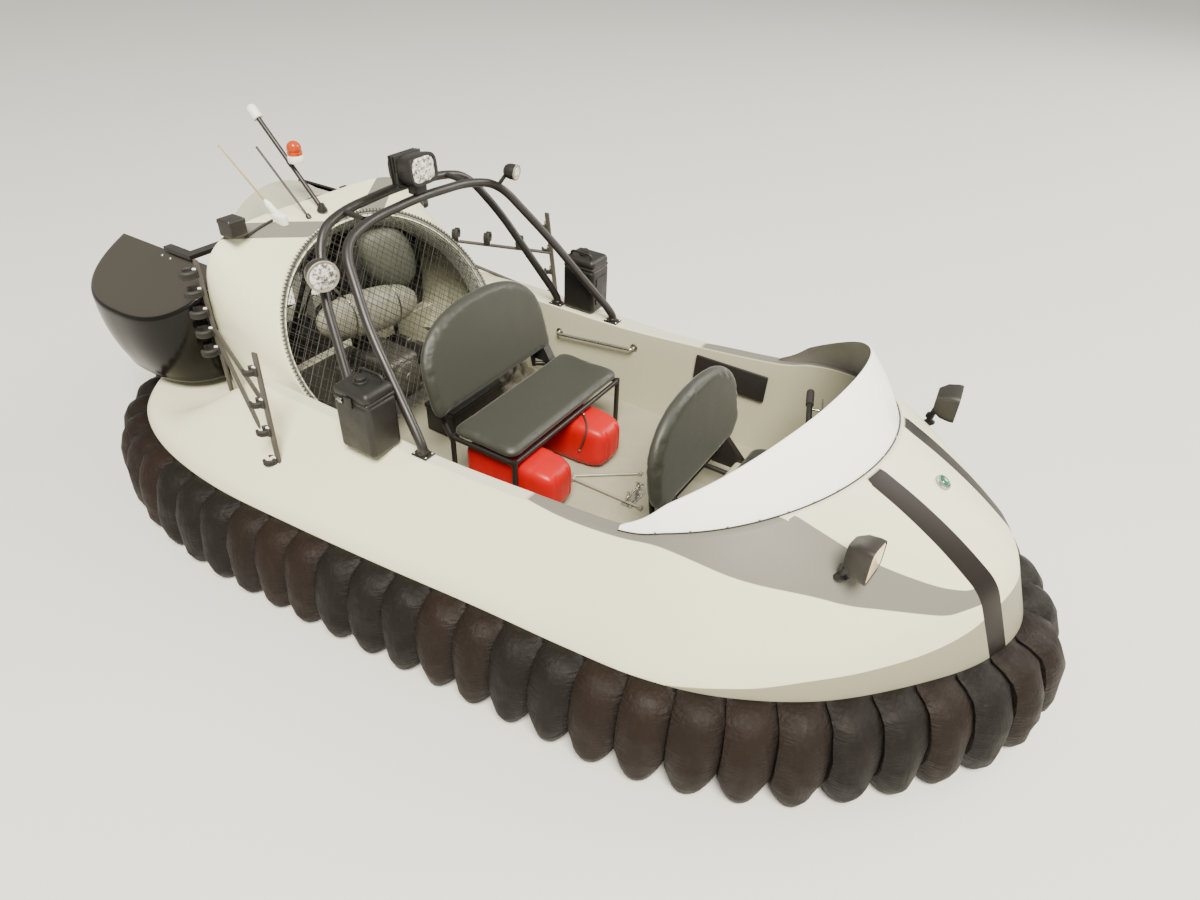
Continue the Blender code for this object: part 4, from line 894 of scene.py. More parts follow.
def makeHeadlights():
    # rounded box shell open ahead, cream lens bulging out of a black bezel, on a swivel stalk
    use = lampSet["headlight"]
    _, wide, tall = use["size"]
    for side, name in sideNames:
        low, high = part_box("headlight_" + name)
        centre = Vector((use["x"], side * use["y"], high.z - tall / 2))
        place = Matrix.Translation(centre) @ Matrix.Rotation(side * use["turn"], 4, "Z")
        # outline of the shell: |y|^n + |z|^n = 1 with n 5, drawn in at the back
        a = circle(64)
        y, z = bent(np.cos(a), 0.4) * wide / 2, bent(np.sin(a), 0.4) * tall / 2
        z = z * (1 - 0.10 * np.clip(-y / wide * 2 * side, -1, 1))
        shell, lens = (moved(solidShape(ringsAlong(y, z, use[key])), place) for key in ("shell", "lens"))
        buildPiece("headlightShell_" + name, shell, lampPlastic, replaces=["headlight_" + name])
        buildPiece("headlightLens_" + name, lens, creamLens)
        y = side * use["y"]
        x = use["stalkX"]
        stalk = tubeShape([(x, y, low.z), (x + 0.001, y, low.z + 0.02), (x + 0.010, y, centre.z - 0.04)],
                          [0.014, 0.012, 0.011], 16)
        flange = turnedShape([(0.026, 0), (0.026, 0.004), (0.014, 0.010)], (x, y, low.z + 0.001),
                             (-0.25, 0, 1), 24)
        knob = turnedShape([(0.012, -0.008), (0.012, 0.008)], (x - 0.005, y, centre.z - 0.075), (0, 1, 0), 16)
        buildPiece("headlightStalk_" + name, [stalk, flange, knob], powderCoat)


def roundLamp(name, node, use, lensMaterial, arm):
    back, face, radius = Vector(use["back"]), Vector(use["face"]), use["radius"]
    axis, depth = (face - back).normalized(), (face - back).length
    a = np.linspace(0, pi / 2, 8)
    profile = [(radius * 0.25, 0.0)] + [(radius * (0.45 + 0.52 * math.sin(t)), depth * 0.6 * (1 - math.cos(t)))
                                        for t in a[1:]]
    profile += [(radius * r, depth * h) for r, h in lampSet["rim"]]
    shell = turnedShape(profile, back, axis, 40)
    buildPiece(name + "Shell", [shell, tubeShape(arm, 0.009, 14)], powderCoat, replaces=[node])
    ring = [(radius * r, depth * h) for r, h in lampSet["ring"]]
    buildPiece(name + "Ring", turnedShape(ring, back, axis, 40), zincGrey)
    dome = [(radius * 0.93 * math.cos(t), depth * 0.94 + radius * 0.16 * math.sin(t)) for t in a * 0.98]
    buildPiece(name + "Lens", turnedShape(dome, back, axis, 40), lensMaterial)


def makeSpotlight():
    # superellipse shell ribbed at the back, in a yoke on a block that clamps the hoop
    use = lampSet["spot"]
    low, high, centre, _ = boxOf("spotlight")
    centre.z = high.z - 0.090
    place = Matrix.Translation(centre) @ Matrix.Rotation(-0.10, 4, "Y")
    a = circle(56)
    y, z = bent(np.cos(a), 0.55) * 0.079, bent(np.sin(a), 0.55) * 0.062
    shapes = [moved(solidShape(ringsAlong(y, z, use["shell"])), place),
              tubeShape([(-0.703, 0, low.z), (-0.703, 0, low.z + 0.05)], 0.016, 20),
              tubeShape(roundedPath([(-0.735, -0.084, centre.z), (-0.735, -0.084, low.z + 0.035),
                                     (-0.720, 0.0, low.z + 0.030), (-0.735, 0.084, low.z + 0.035),
                                     (-0.735, 0.084, centre.z)], 0.02), 0.006, 12),
              roundedBox((-0.712, 0, low.z + 0.018), (0.052, 0.066, 0.046), 0.008)]
    shapes += [moved(roundedBox((x, 0, 0), (0.006, 0.152, 0.122), 0.003), place) for x in use["ribs"]]
    buildPiece("spotShell", shapes, mouldedPlastic, replaces=["spotlight"])
    buildPiece("spotLens", moved(solidShape(ringsAlong(y, z, use["lens"])), place), reflectorPaintedReflections)


def makeLamps():
    makeHeadlights()
    rear = roundedPath(hoopHalf("rear"), hoopSet["bend"]) * [1, -1, 1]
    front = roundedPath(hoopHalf("front"), hoopSet["bend"])
    for name, path in (("round", rear), ("corner", front)):
        use = lampSet[name]
        middle = np.array(Vector(use["back"]).lerp(Vector(use["face"]), 0.3))
        near = path[np.argmin(np.linalg.norm(path - middle, axis=1))]
        roundLamp(name + "Lamp", name + "_lamp", use, reflectorPaintedReflections, [middle + (near - middle) * 0.93, middle])
    makeSpotlight()
    tilt = Vector(lampSet["nose"]["tilt"]).normalized()
    base = boxOf("nose_light")[2] - tilt * 0.0145
    buildPiece("noseLampRing", turnedShape(lampSet["nose"]["ring"], base, tilt, 36), stainless,
               replaces=["nose_light"])
    dome = [(0.020 * math.cos(t), 0.007 + 0.012 * math.sin(t)) for t in np.linspace(0, pi / 2 * 0.97, 8)]
    buildPiece("noseLampGlass", turnedShape(dome, base, tilt, 36), greenGlass)


makeLamps()
print("boxes and lamps made")

# Windscreen: bent sheet on the front of the coaming, leaning aft, pointed at its two ends
screenSet = {"end": 0.735, "thick": 0.006, "rows": 22, "inBase": 0.020, "lean": 0.14, "tall": 0.225}


def makeWindscreen():
    # top = base - out (0.01 + lean s), height = 0.012 + tall s^0.75 with s from the coaming's rise
    use = screenSet
    first = int(np.argmax(hull[:, 4] < use["end"]))
    index = np.arange(-first, first + 1) % len(hull)
    lip, out, height = lipLine[index], lipOut[index], hull[index, 6]
    share = (height - height.min()) / (height.max() - height.min())
    base = at(lip - out * use["inBase"], height + 0.001)
    top = at(base[:, :2] - out * (0.01 + use["lean"] * share)[:, None],
             height + 0.012 + use["tall"] * share ** 0.75)
    out3 = np.column_stack([out, np.zeros(len(out))])
    t = np.linspace(0, 1, use["rows"])[:, None, None]
    outer = base + (top - base) * t + out3 * (0.012 * np.sin(pi * t) * share[None, :, None])
    grid = np.concatenate([outer, (outer - out3 * use["thick"])[::-1]])

    def grey(faces):
        row = faces[:, 0] // grid.shape[1]
        return ((row >= use["rows"]) & (row < 2 * use["rows"] - 1)).astype(np.int32)

    buildPiece("screenSheet", gridShape(grid, closeRows=True), filmWhitePaintedGlow, replaces=["windscreen"],
               inside=screenGrey, splitAt=grey, crease=50)
    ways = out3[10:-10:9]
    heads = [screwHeads([spot], way, 0.0035, 0.003)[0]
             for spot, way in zip(base[10:-10:9] + ways * 0.003 + [0, 0, 0.008], ways)]
    buildPiece("screenScrews", heads, stainless)
    seal = tubeShape(base + out3 * 0.003 + [0, 0, 0.001], 0.0026, 8)
    buildPiece("screenSeal", seal, lampPlastic)


makeWindscreen()

# Seats: boards under 40 mm of foam in vinyl, puffed by simulation
seatSet = {
    "rearBack": {"node": "rear_seat_back", "half": 0.422, "lower": 0.006, "lean": -0.12, "cap": 0.010,
                 "heel": (0.06, 0.12)},
    "frontBack": {"node": "front_seat_back", "half": 0.380, "lower": 0.020, "lean": -0.06, "cap": 0.010,
                  "heel": (0.24, 0.24)},
    "rearPad": {"node": "rear_seat_pad", "cap": 0.009, "corner": 0.06, "cut": 0.0},
    "frontPad": {"node": "front_seat_pad", "cap": 0.009, "corner": 0.07, "cut": 0.060},
    "voxel": 0.006, "pressure": 4.0, "frames": 20, "shrink": 0.008,
    "base": {"plinth": (0.29, 0.49, 0.905), "tubeEnd": (0.640, 0.30, 0.360), "tube": 0.0115, "strutTo": 0.765,
             "bracket": ((0.660, 0.500), (0.705, 0.500), (0.800, 0.402), (0.745, 0.360), (0.655, 0.360))},
}


def cushionRings(outline, thick, edge=0.016):
    # outline drawn in by e (1 - cos a) while the height goes h sin a: a padded board with a soft rim
    out = outward(outline)
    return np.array([at(outline - out * edge * (1 - math.cos(a)), thick / 2 * math.sin(a))
                     for a in np.linspace(-pi / 2, pi / 2, 13)])


def evaluated(piece):
    bpy.context.view_layer.update()
    return bpy.data.meshes.new_from_object(piece.evaluated_get(bpy.context.evaluated_depsgraph_get()))


def blownUp(piece, rest, cap):
    # points after cloth pressure with gravity off, none moved further than the cap
    cloth = piece.modifiers.new("cloth", "CLOTH")
    cloth.settings.use_pressure = True
    cloth.settings.uniform_pressure_force = seatSet["pressure"]
    cloth.settings.effector_weights.gravity = 0
    cloth.settings.quality = 5
    cloth.point_cache.frame_start = 1
    cloth.point_cache.frame_end = seatSet["frames"]
    for step in range(1, seatSet["frames"] + 1):
        bpy.context.scene.frame_set(step)
    live = piece.evaluated_get(bpy.context.evaluated_depsgraph_get()).to_mesh()
    puff = np.zeros(len(rest))
    live.vertices.foreach_get("co", puff)
    piece.modifiers.clear()
    bpy.context.scene.frame_set(1)
    move = (puff - rest).reshape(-1, 3)
    far = np.linalg.norm(move, axis=1)[:, None]
    return (rest.reshape(-1, 3) + move * np.minimum(1, cap / np.maximum(far, 1e-9))).ravel()


def puffed(name, shape, cap, material, node):
    # remeshed, blown up, smoothed and refined, with no modifier left on it
    source = bpy.data.meshes.new(name)
    source.from_pydata(shape["verts"].tolist(), [], shape["quads"].tolist() + shape["polys"])
    tidy = bmesh.new()
    tidy.from_mesh(source)
    bmesh.ops.recalc_face_normals(tidy, faces=tidy.faces)
    tidy.to_mesh(source)
    tidy.free()
    piece = bpy.data.objects.new(name, source)
    bpy.context.scene.collection.objects.link(piece)
    remesh = piece.modifiers.new("remesh", "REMESH")
    remesh.mode = "VOXEL"
    remesh.voxel_size = seatSet["voxel"]
    remesh.use_smooth_shade = True
    data = evaluated(piece)
    piece.modifiers.clear()
    piece.data = data
    rest = np.zeros(len(data.vertices) * 3)
    data.vertices.foreach_get("co", rest)
    data.vertices.foreach_set("co", blownUp(piece, rest, cap))
    smooth = piece.modifiers.new("smooth", "SMOOTH")
    smooth.factor = 0.5
    smooth.iterations = 6
    finer = piece.modifiers.new("finer", "SUBSURF")
    finer.levels = finer.render_levels = 1
    done = evaluated(piece)
    piece.modifiers.clear()
    piece.data = done
    done.materials.clear()
    done.materials.append(material)
    done.shade_smooth()
    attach(piece, "craft")
    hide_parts(node)


def backOutline(half, tall, inset, heel):
    # rounded top: y = w cos a, z = h (0.36 + 0.64 sin a), closed by quarter-oval heels
    a, b = np.linspace(0, pi, 60), np.linspace(0, pi / 2, 7)
    y = (half - inset) * bent(np.cos(a), 0.85)
    z = tall * 0.36 + (tall * 0.64 - inset) * np.sin(a) ** 0.85
    low = np.column_stack([heel[0] * half * (1 - np.cos(b)) - half + inset,
                           heel[1] * tall * (1 - np.sin(b)) + inset])
    return evenPoints(np.vstack([np.column_stack([y, z]), low, low[::-1] * [-1, 1]]), 120, closed=True)


def padOutline(wide, deep, corner, inset):
    # rectangle with quarter-round corners
    a = np.linspace(0, pi / 2, 10)
    w, d, r = wide / 2 - inset, deep / 2 - inset, corner - inset
    turns = []
    for k, (sx, sy) in enumerate(((1, 1), (-1, 1), (-1, -1), (1, -1))):
        b = a + k * pi / 2
        turns.append(np.column_stack([np.cos(b), np.sin(b)]) * r + [sx * (w - r), sy * (d - r)])
    return np.vstack(turns)


def makeSeats():
    shrink = seatSet["shrink"]
    for key in ("rearBack", "frontBack"):
        use = seatSet[key]
        low, high, _, size = boxOf(use["node"])
        tall, thick = size.z - use["lower"], size.x - abs(use["lean"])
        rings = cushionRings(backOutline(use["half"], tall, shrink, use["heel"]), thick - shrink)
        # board stands in y-z and leans aft: x = foot + lean z / tall + offset
        x = high.x - thick / 2 + use["lean"] * rings[..., 1] / tall + rings[..., 2]
        grid = np.stack([x, rings[..., 0], low.z + rings[..., 1]], -1)
        puffed(key + "Cushion", solidShape(grid), use["cap"], vinyl, use["node"])
    for key in ("rearPad", "frontPad"):
        use = seatSet[key]
        low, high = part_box(use["node"])
        low.x += use["cut"]
        size = high - low
        rings = cushionRings(padOutline(size.x, size.y, use["corner"], shrink), size.z - shrink, 0.026)
        puffed(key + "Cushion", solidShape(rings + np.array((low + high) / 2)), use["cap"], vinyl, use["node"])


def makeSeatBase():
    # moulded plinth in the hull's colour with black brackets up to the back
    use = seatSet["base"]
    top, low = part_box("front_seat_pad")[0].z - 0.0005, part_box("front_seat_box")[0].z
    wide, deep, x = use["plinth"]
    plinth = roundedBox((x, 0.0, (top + low) / 2), (wide, deep, top - low), 0.018, 5)
    fields = {key: np.full(len(plinth["verts"]), -0.1)
              for key in ("inside", "coaming", "swoosh", "band", "stripe", "bayShade")}
    fields["inside"] += 0.2
    buildPiece("seatPlinth", plinth, gelcoat, replaces=["front_seat_box"], fields=fields)
    (x, y, z), radius = use["tubeEnd"], use["tube"]
    shapes = [tubeShape([(x, -y, z), (x, y, z)], radius, 16)]
    for y in (-y, y):
        strut = roundedPath([(x, y * 0.6, z), (use["strutTo"], y * 0.6, z)], 0.01)
        shapes.append(tubeShape(strut, radius, 16))
        shapes.append(tubeShape([(0.663, y, 0.352), (0.6285, y, 0.62)], radius, 16))
        shapes.append(prismShape([(px, y * 0.8, pz) for px, pz in use["bracket"]], (-0.014, 0.014)))
    buildPiece("seatBrackets", shapes, powderCoat)


makeSeatBase()
makeSeats()
print("seats made")

# Fuel tanks: blow-moulded red cans, rounded, with ribs and a cap, and a bungee over the port one
tankSet = {"names": ("fuel_tank_port", "fuel_tank_starboard"), "power": 5.0, "ribs": (-0.10, 0.125),
           "cap": ((0.030, -0.01), (0.030, 0.008), (0.027, 0.0112), (0.008, 0.0115))}


def makeTanks():
    # |y|^n + |z|^n = 1 section swept along x, times k = (1 - |x/h|^9)^0.26 (1 - 0.15 e^1.4), e from
    # 0 at 0.45 h to 1 at its front end; grooves and end dents are bell curves cut into it
    power = 2 / tankSet["power"]
    for name in tankSet["names"]:
        low, high, c, size = boxOf(name)
        tall, half = size.z - 0.010, size.x / 2 - 0.001
        a = circle(88)
        y = bent(np.cos(a), power) * (size.y / 2 - 0.001)
        z = bent(np.sin(a), power) * tall / 2
        rows = []
        for t in np.linspace(0, pi, 61)[1:-1]:
            x = -half * bent(np.cos(t), 0.5)
            k = (1 - np.abs(x / half) ** 9) ** 0.26
            k *= 1 - 0.15 * np.clip((x / half - 0.45) / 0.55, 0, 1) ** 1.4
            grooves = sum(np.exp(-((x - g) / 0.006) ** 2) for g in tankSet["ribs"])
            pinch = 1 - 0.035 * grooves * np.abs(np.cos(a)) ** 0.3
            dent = sum(np.exp(-((y * k - e * size.y / 2) / 0.007) ** 2) for e in (-0.42, 0.42))
            dent = 0.006 * np.sign(x) * dent * np.clip((abs(x / half) - 0.86) / 0.1, 0, 1)
            rows.append(np.column_stack([c.x + x - dent, c.y + y * k * pinch,
                                         low.z + tall / 2 + z * k * pinch]))
        buildPiece("tankShell_" + name, solidShape(rows), polyRed, replaces=[name], crease=60)
        cap = turnedShape(tankSet["cap"], (c.x - 0.14, c.y, high.z - 0.013), (0, 0, 1), 32)
        buildPiece("tankCap_" + name, cap, mouldedPlastic)
    # bungee over the port can: arc from its front edge back to the frame, with bright hooks
    low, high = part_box(tankSet["names"][0])
    path = [(high.x - 0.115, low.y - 0.004, low.z + 0.10), (high.x - 0.085, low.y - 0.004, high.z - 0.045),
            (high.x - 0.100, low.y + 0.030, high.z - 0.006), (high.x - 0.150, low.y + 0.075, high.z + 0.004)]
    buildPiece("tankBungee", tubeShape(roundedPath(path, 0.05), 0.0042, 12), webbing)
    hooks = [roundedBox(spot, (0.012, 0.010, 0.012), 0.004) for spot in (path[0], path[-1])]
    buildPiece("tankHooks", hooks, stainless)


makeTanks()

# Engine: finned cylinders beside an alloy crankcase, starter housing, crank pulley, post up to the fan
engineSet = {
    "case": (-1.065, 0.0, 0.335), "caseSize": (0.30, 0.20, 0.225), "finCount": 9, "post": -1.210,
    "cover": ((0.085, 0), (0.085, 0.018), (0.075, 0.026), (0.03, 0.028), (0.028, 0.036)),
    "carburettor": ((0.03, 0), (0.034, 0.01), (0.034, 0.05), (0.026, 0.055)),
    "pulley": 0.048, "groove": ((0.3, -0.012), (1.1, -0.012), (1.1, -0.009), (1, -0.008), (1, 0.008),
                                (1.1, 0.009), (1.1, 0.012), (0.3, 0.012)),
}


def makeSilencer():
    # long egg: r = (1 - |s|^2.4)^0.42 along y, tilted as far as its solid's box lets it
    _, _, c, size = boxOf("silencer")
    half = size / 2
    s = np.sin(np.linspace(-pi / 2, pi / 2, 41))[:, None]
    r = (1 - np.abs(s) ** 2.4) ** 0.42
    a = circle(48)
    grid = np.stack([c.x + half.x * (0.88 * r * np.cos(a) + 0.12 * s), c.y + half.y * 0.985 * s + 0 * a,
                     c.z + half.z * (0.74 * r * np.sin(a) - 0.26 * s)], -1)
    buildPiece("silencerShell", gridShape(grid, closeColumns=True), tankGrey, replaces=["silencer"],
               crease=80)
    bands = [tubeShape(ring + (ring - ring.mean(0)) * 0.012, 0.0045, 8, closed=True)
             for ring in grid[[14, 26]]]
    buildPiece("silencerBands", bands, stainless)


def makeEngine():
    low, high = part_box("engine_block")
    (x, y, z), ductZ, post = engineSet["case"], cowlSet["ductZ"], engineSet["post"]
    corners = [(side, dx) for side in (1, -1) for dx in (-0.065, 0.065)]
    shapes = [roundedBox((x, y, z), engineSet["caseSize"], 0.03, 6),
              turnedShape(engineSet["cover"], (x + 0.142, y, z + 0.01), (1, 0, 0), 40),
              roundedBox((x, y, low.z + 0.045), (0.26, 0.17, 0.07), 0.02),
              turnedShape(engineSet["carburettor"], (x - 0.02, 0.0, z + 0.105), (0, 0, 1), 28)]
    shapes += [roundedBox((x + dx, dy, low.z + 0.014), (0.05, 0.06, 0.026), 0.006)
               for dx in (-0.11, 0.11) for dy in (-0.09, 0.09)]
    shapes += [roundedBox((x + dx, side * 0.2, z + 0.02), (0.098, 0.045, 0.12), 0.012) for side, dx in corners]
    buildPiece("engineCase", shapes, castAlloy, replaces=["engine_block"])
    arm = roundedBox((post, 0, (high.z + 0.2 + low.z) / 2 + 0.05), (0.022, 0.12, high.z - low.z - 0.14),
                     0.006)
    bearing = turnedShape([(0.052, -0.040), (0.056, -0.036), (0.056, 0.036), (0.052, 0.040)],
                          (post, 0, ductZ), (1, 0, 0), 36)
    buildPiece("driveUpright", [arm, bearing], powderCoat)
    # cylinder fins at an even pitch, out to both sides
    fins = [roundedBox((x + dx, side * (0.108 + 0.0092 * k), z + 0.02), (0.104, 0.0032, 0.128), 0.0015, 2)
            for side, dx in corners for k in range(engineSet["finCount"])]
    buildPiece("engineFins", fins, sootIronAndShade)
    pulley = [(engineSet["pulley"] * r, h) for r, h in engineSet["groove"]]
    buildPiece("crankPulley", turnedShape(pulley, (post + 0.030, 0, z + 0.02), (1, 0, 0), 40), rustyIron)


# pale enamelled sheet of the airbox: eggshell finish, sooty in patches
tankGrey = weathered("enamelPale", "#A3A290", "#868576", 110, 1.6, 0.0001, (0.34, 0.5), IOR=1.5)
makeEngine()
makeSilencer()

# Behind the seat: battery box, net thrown down in a heap, moulded air box on a stay
behindSet = {
    # place and size
    "battery": ((-0.565, 0.02, 0.2925), (0.17, 0.36, 0.144)),
    "batteryLid": ((-0.565, 0.02, 0.360), (0.176, 0.366, 0.026)),
    # place and half size
    "heap": ((-0.545, 0.385, 0.2215), (0.085, 0.125, 0.13)),
    "waves": ((0.10, 5, 6), (0.07, -3, 9), (0.05, 11, 14)),
    "airBox": ((-1.243, 0.272, 0.800), (0.086, 0.150, 0.170)), "airBoxLean": 0.05,
    "airBoxStay": ((-1.262, 0.285, 0.66), (-1.262, 0.285, 0.2215)),
}


def makeBehindSeat():
    use = behindSet
    buildPiece("batteryBox", [roundedBox(*use["battery"], 0.012, 5), roundedBox(*use["batteryLid"], 0.008, 5)],
               mouldedPlastic)
    # folded net in a heap: dome with r = 1 + sum of share sin(m u + n v)
    (x, y, z), (a, b, c) = use["heap"]
    u, v = circle(96)[None, :], np.linspace(0.03, pi / 2, 40)[:, None]
    r = 1 + sum(share * np.sin(m * u + n * v) for share, m, n in use["waves"])
    heap = np.stack([x + a * r * np.sin(v) * np.cos(u), y + b * r * np.sin(v) * np.sin(u),
                     z + c * r * np.cos(v) + 0 * u], -1)
    buildPiece("spareNet", solidShape(heap), netHeap, crease=60)
    # air box: |x/a|^2.4 + |y/b|^2.4 section, drawn in to both ends as sin^0.55
    (x, y, z), (a, b, c) = use["airBox"]
    u, v = circle(56)[None, :], np.linspace(0.06, pi - 0.06, 27)[:, None]
    r = np.sin(v) ** 0.55
    lobe = np.stack([x + a * r * bent(np.cos(u), 0.83), y + b * r * bent(np.sin(u), 0.83)
                     + use["airBoxLean"] * np.cos(v), z - c * np.cos(v) + 0 * u], -1)
    buildPiece("airBox", solidShape(lobe), airBoxPlastic, crease=80)
    buildPiece("airBoxStay", tubeShape(use["airBoxStay"], 0.012, 14), powderCoat)


# grained polypropylene of the air box: dull grey, oily dust
airBoxPlastic = weathered("airBoxPlastic", "#6A6D61", "#55584D", 60, 1.4, 0.0002, (0.45, 0.6), IOR=1.49)
# pale nylon netting thrown down in a heap
netHeap = weathered("netHeap", "#B9B5A4", "#55524A", 9, 2.5, 0.0012, (0.55, 0.75))
makeBehindSeat()
print("tanks and engine made")

# Fan: five twisted glass-nylon blades on a hub, riding on the body "fan"
fanSet = {
    "x": -1.44, "blades": 5, "span": (0.062, 0.336), "chord": (0.092, 0.070), "twist": (52, 24), "thick": 0.011,
    "hub": ((0.020, -0.046), (0.058, -0.046), (0.068, -0.038), (0.068, 0.030), (0.060, 0.044), (0.036, 0.049),
            (0.022, 0.049)),
}


def fanBlade():
    # section: thickness t(s) = T sqrt(s)(1 - s), chord and twist fall from root to tip
    s = (1 - np.cos(np.linspace(0, pi, 13))) / 2
    upper = 2.6 * np.sqrt(s) * (1 - s)
    along = np.concatenate([s, s[-2:0:-1]]) - 0.5
    across = np.concatenate([upper, -0.4 * upper[-2:0:-1]]) * fanSet["thick"] / 2
    rings = []
    for share in np.linspace(0, 1, 20):
        r, chord, twist = (a + (b - a) * share for a, b in (fanSet[key] for key in ("span", "chord", "twist")))
        chord *= min(1, 0.55 + share * 3) * (1 - max(0, share - 0.93) * 4)
        turn = math.radians(twist)
        rings.append(np.column_stack([along * chord * math.sin(turn) + across * math.cos(turn),
                                      along * chord * math.cos(turn) - across * math.sin(turn),
                                      np.full(len(along), r)]))
    return solidShape(rings)


def makeFan():
    x, z = fanSet["x"], cowlSet["ductZ"]
    shapes = [turnedShape(fanSet["hub"], (x, 0, z), (1, 0, 0), 48)]
    shapes += screwHeads([(x + 0.046, 0.046 * math.cos(a), z + 0.046 * math.sin(a)) for a in circle(5)],
                         (1, 0, 0), 0.006, 0.004)
    for k in range(fanSet["blades"]):
        place = Matrix.Translation((x, 0, z)) @ Matrix.Rotation(2 * pi * k / fanSet["blades"], 4, "X")
        shapes.append(moved(fanBlade(), place))
    buildPiece("fanWheel", shapes, nylonBlack, body="fan", replaces=["fan"])
    shaft = turnedShape([(0.0195, 0), (0.0195, 0.15)], (x + 0.03, 0, z), (1, 0, 0), 24)
    buildPiece("fanShaft", shaft, stainless, body="fan")


# glass-filled nylon of the fan blades: dark, slightly waxy, dust in the grain
nylonBlack = weathered("nylonBlack", "#2B2927", "#1F1D1C", 80, 1.0, 0.0001, (0.36, 0.5), IOR=1.53)
makeFan()

# Rudders: folded sheet blades with rounded noses on steel spindles, each on its own body
rudderSet = {
    # node, y and half height
    "names": (("rudder_port", 0.18, 0.25), ("rudder_center", 0.0, 0.31), ("rudder_starboard", -0.18, 0.25)),
    "x": (-1.535, -1.685), "pivot": -1.60,
}


def makeRudders():
    # leaf section: y = 0.0039 (1 - |2s-1|^3) + 0.0004 from nose to tail
    (front, rear), z = rudderSet["x"], cowlSet["ductZ"]
    s = np.linspace(0, 1, 17)
    fat = 0.0039 * (1 - np.abs(2 * s - 1) ** 3) + 0.0004
    x = front + (rear - front) * s
    for name, y, half in rudderSet["names"]:
        low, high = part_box(name)
        loop = np.column_stack([np.concatenate([x, x[::-1]]), np.concatenate([y + fat, y - fat[::-1]])])
        shapes = [solidShape([at(loop, z - half), at(loop, z + half)])]
        size = (front - rear - 0.004, 0.009, 0.012)
        shapes += [roundedBox(((front + rear) / 2, y, z + k * half * 0.93), size, 0.003) for k in (-1, 1)]
        buildPiece(name + "Blade", shapes, whitePaint, body=name, replaces=[name])
        foot = (rudderSet["pivot"], y, low.z)
        spindle = turnedShape([(0.006, 0), (0.006, high.z - low.z)], foot, (0, 0, 1), 20)
        buildPiece(name + "Spindle", spindle, stainless, body=name)


# two-pack paint on the rudders: pale, satin, dusty
whitePaint = weathered("paintPale", "#C9C7B9", "#B2B0A3", 160, 2.0, 0.0001, (0.35, 0.5), IOR=1.5)
makeRudders()

# Buckets: half drums in gloss black, flat sloped lid with a rolled edge, open inboard
bucketSet = {"x": -1.775, "y": 0.52, "half": 0.38, "deep": 0.33, "wall": 0.012, "low": 0.440, "high": 0.955,
             "slope": 0.50, "power": 2.6, "steps": 96, "roll": 0.030, "edge": 0.020, "bowl": 0.055}


def bucketLine(inset):
    # |x/a|^2.6 + |out/b|^2.6 = 1, flat side inboard
    a, power = np.linspace(0, pi, bucketSet["steps"] + 1), 2 / bucketSet["power"]
    line = np.column_stack([bent(np.cos(a), power) * (bucketSet["half"] - inset),
                            np.abs(np.sin(a)) ** power * (bucketSet["deep"] - inset)])
    return evenPoints(line, len(a))


def bucketSheet(edge, flat):
    # floor or lid: the edge line shrunk to the middle of the flat side
    rows, middle = [], edge[[0, -1]].mean(0)
    for share in (0.94, 0.8, 0.6, 0.4, 0.2, 0.02):
        ring = middle + (edge - middle) * share
        ring[:, 2] = flat(np.abs(ring[:, 1]) - bucketSet["y"])
        rows.append(ring)
    return rows


def makeBuckets():
    # wall drawn in by bowl (1-h)^2.4 towards the floor, both corners rounded by quarter circles
    use = bucketSet
    roll, edge, wall, bowl, bottom, top, slope = (use[key] for key in (
        "roll", "edge", "wall", "bowl", "low", "high", "slope"))
    quarter = np.linspace(0, pi / 2, 7)
    for side, name in sideNames:
        def place(line, height):
            return np.column_stack([use["x"] + line[:, 0], side * (use["y"] + np.maximum(line[:, 1], 0.0)),
                                    np.broadcast_to(height, len(line))])

        def closedBucket(walls, drop, rise):
            # floor, wall and lid as one sheet of rows
            floor = bucketSheet(walls[0], lambda out: bottom + rise + 0 * out)
            lid = bucketSheet(walls[-1], lambda out: top - drop - slope * out)
            return np.array(floor[::-1] + walls + lid)

        rows, innerRows = [], []
        for t in quarter:
            rows.append(place(bucketLine(bowl + roll * (1 - math.sin(t))), bottom + roll * (1 - math.cos(t))))
        for share in np.linspace(0.05, 0.95, 16):
            line = bucketLine(bowl * (1 - share) ** 2.4)
            height = (top - slope * line[:, 1] - bottom - roll - edge) * share
            rows.append(place(line, bottom + roll + height))
        for t in quarter:
            line = bucketLine(edge * (1 - math.cos(t)))
            rows.append(place(line, top - slope * line[:, 1] - edge * (1 - math.sin(t))))
        for share in np.linspace(0, 1, 16):
            line = bucketLine(wall + bowl * (1 - share) ** 2.4)
            height = (top - slope * line[:, 1] - bottom - 2 * wall) * share
            innerRows.append(place(line, bottom + wall + height))
        outer, inner = closedBucket(rows, 0, 0), closedBucket(innerRows, wall, wall)
        edges = [evenPoints(np.vstack([sheet[:, 0], sheet[::-1, -1]]), 160, closed=True)
                 for sheet in (outer, inner)]
        skin, lining, lip = gridShape(outer), gridShape(inner), gridShape(edges, closeColumns=True)
        body = "bucket_" + name
        spots = np.vstack([skin["verts"], lining["verts"]])
        dust = spots[:, 2] - top + slope * (np.abs(spots[:, 1]) - use["y"]) + 0.004
        buildPiece("bucketSkin_" + name, [skin, lining], blackGelcoat, body=body, replaces=[body],
                   crease=50, fields={"dust": dust})
        buildPiece("bucketLip_" + name, lip, blackGelcoat, body=body,
                   fields={"dust": np.full(len(lip["verts"]), -0.1)})
        bolts = screwHeads([(use["x"] + dx, side * (use["y"] + 0.03), top - slope * 0.03 + 0.0003)
                            for dx in (-0.03, 0.03)], (0, side * slope, 1), 0.007, 0.004)
        buildPiece("bucketBolts_" + name, bolts, stainless, body=body)


makeBuckets()
print("fan, rudders and buckets made")

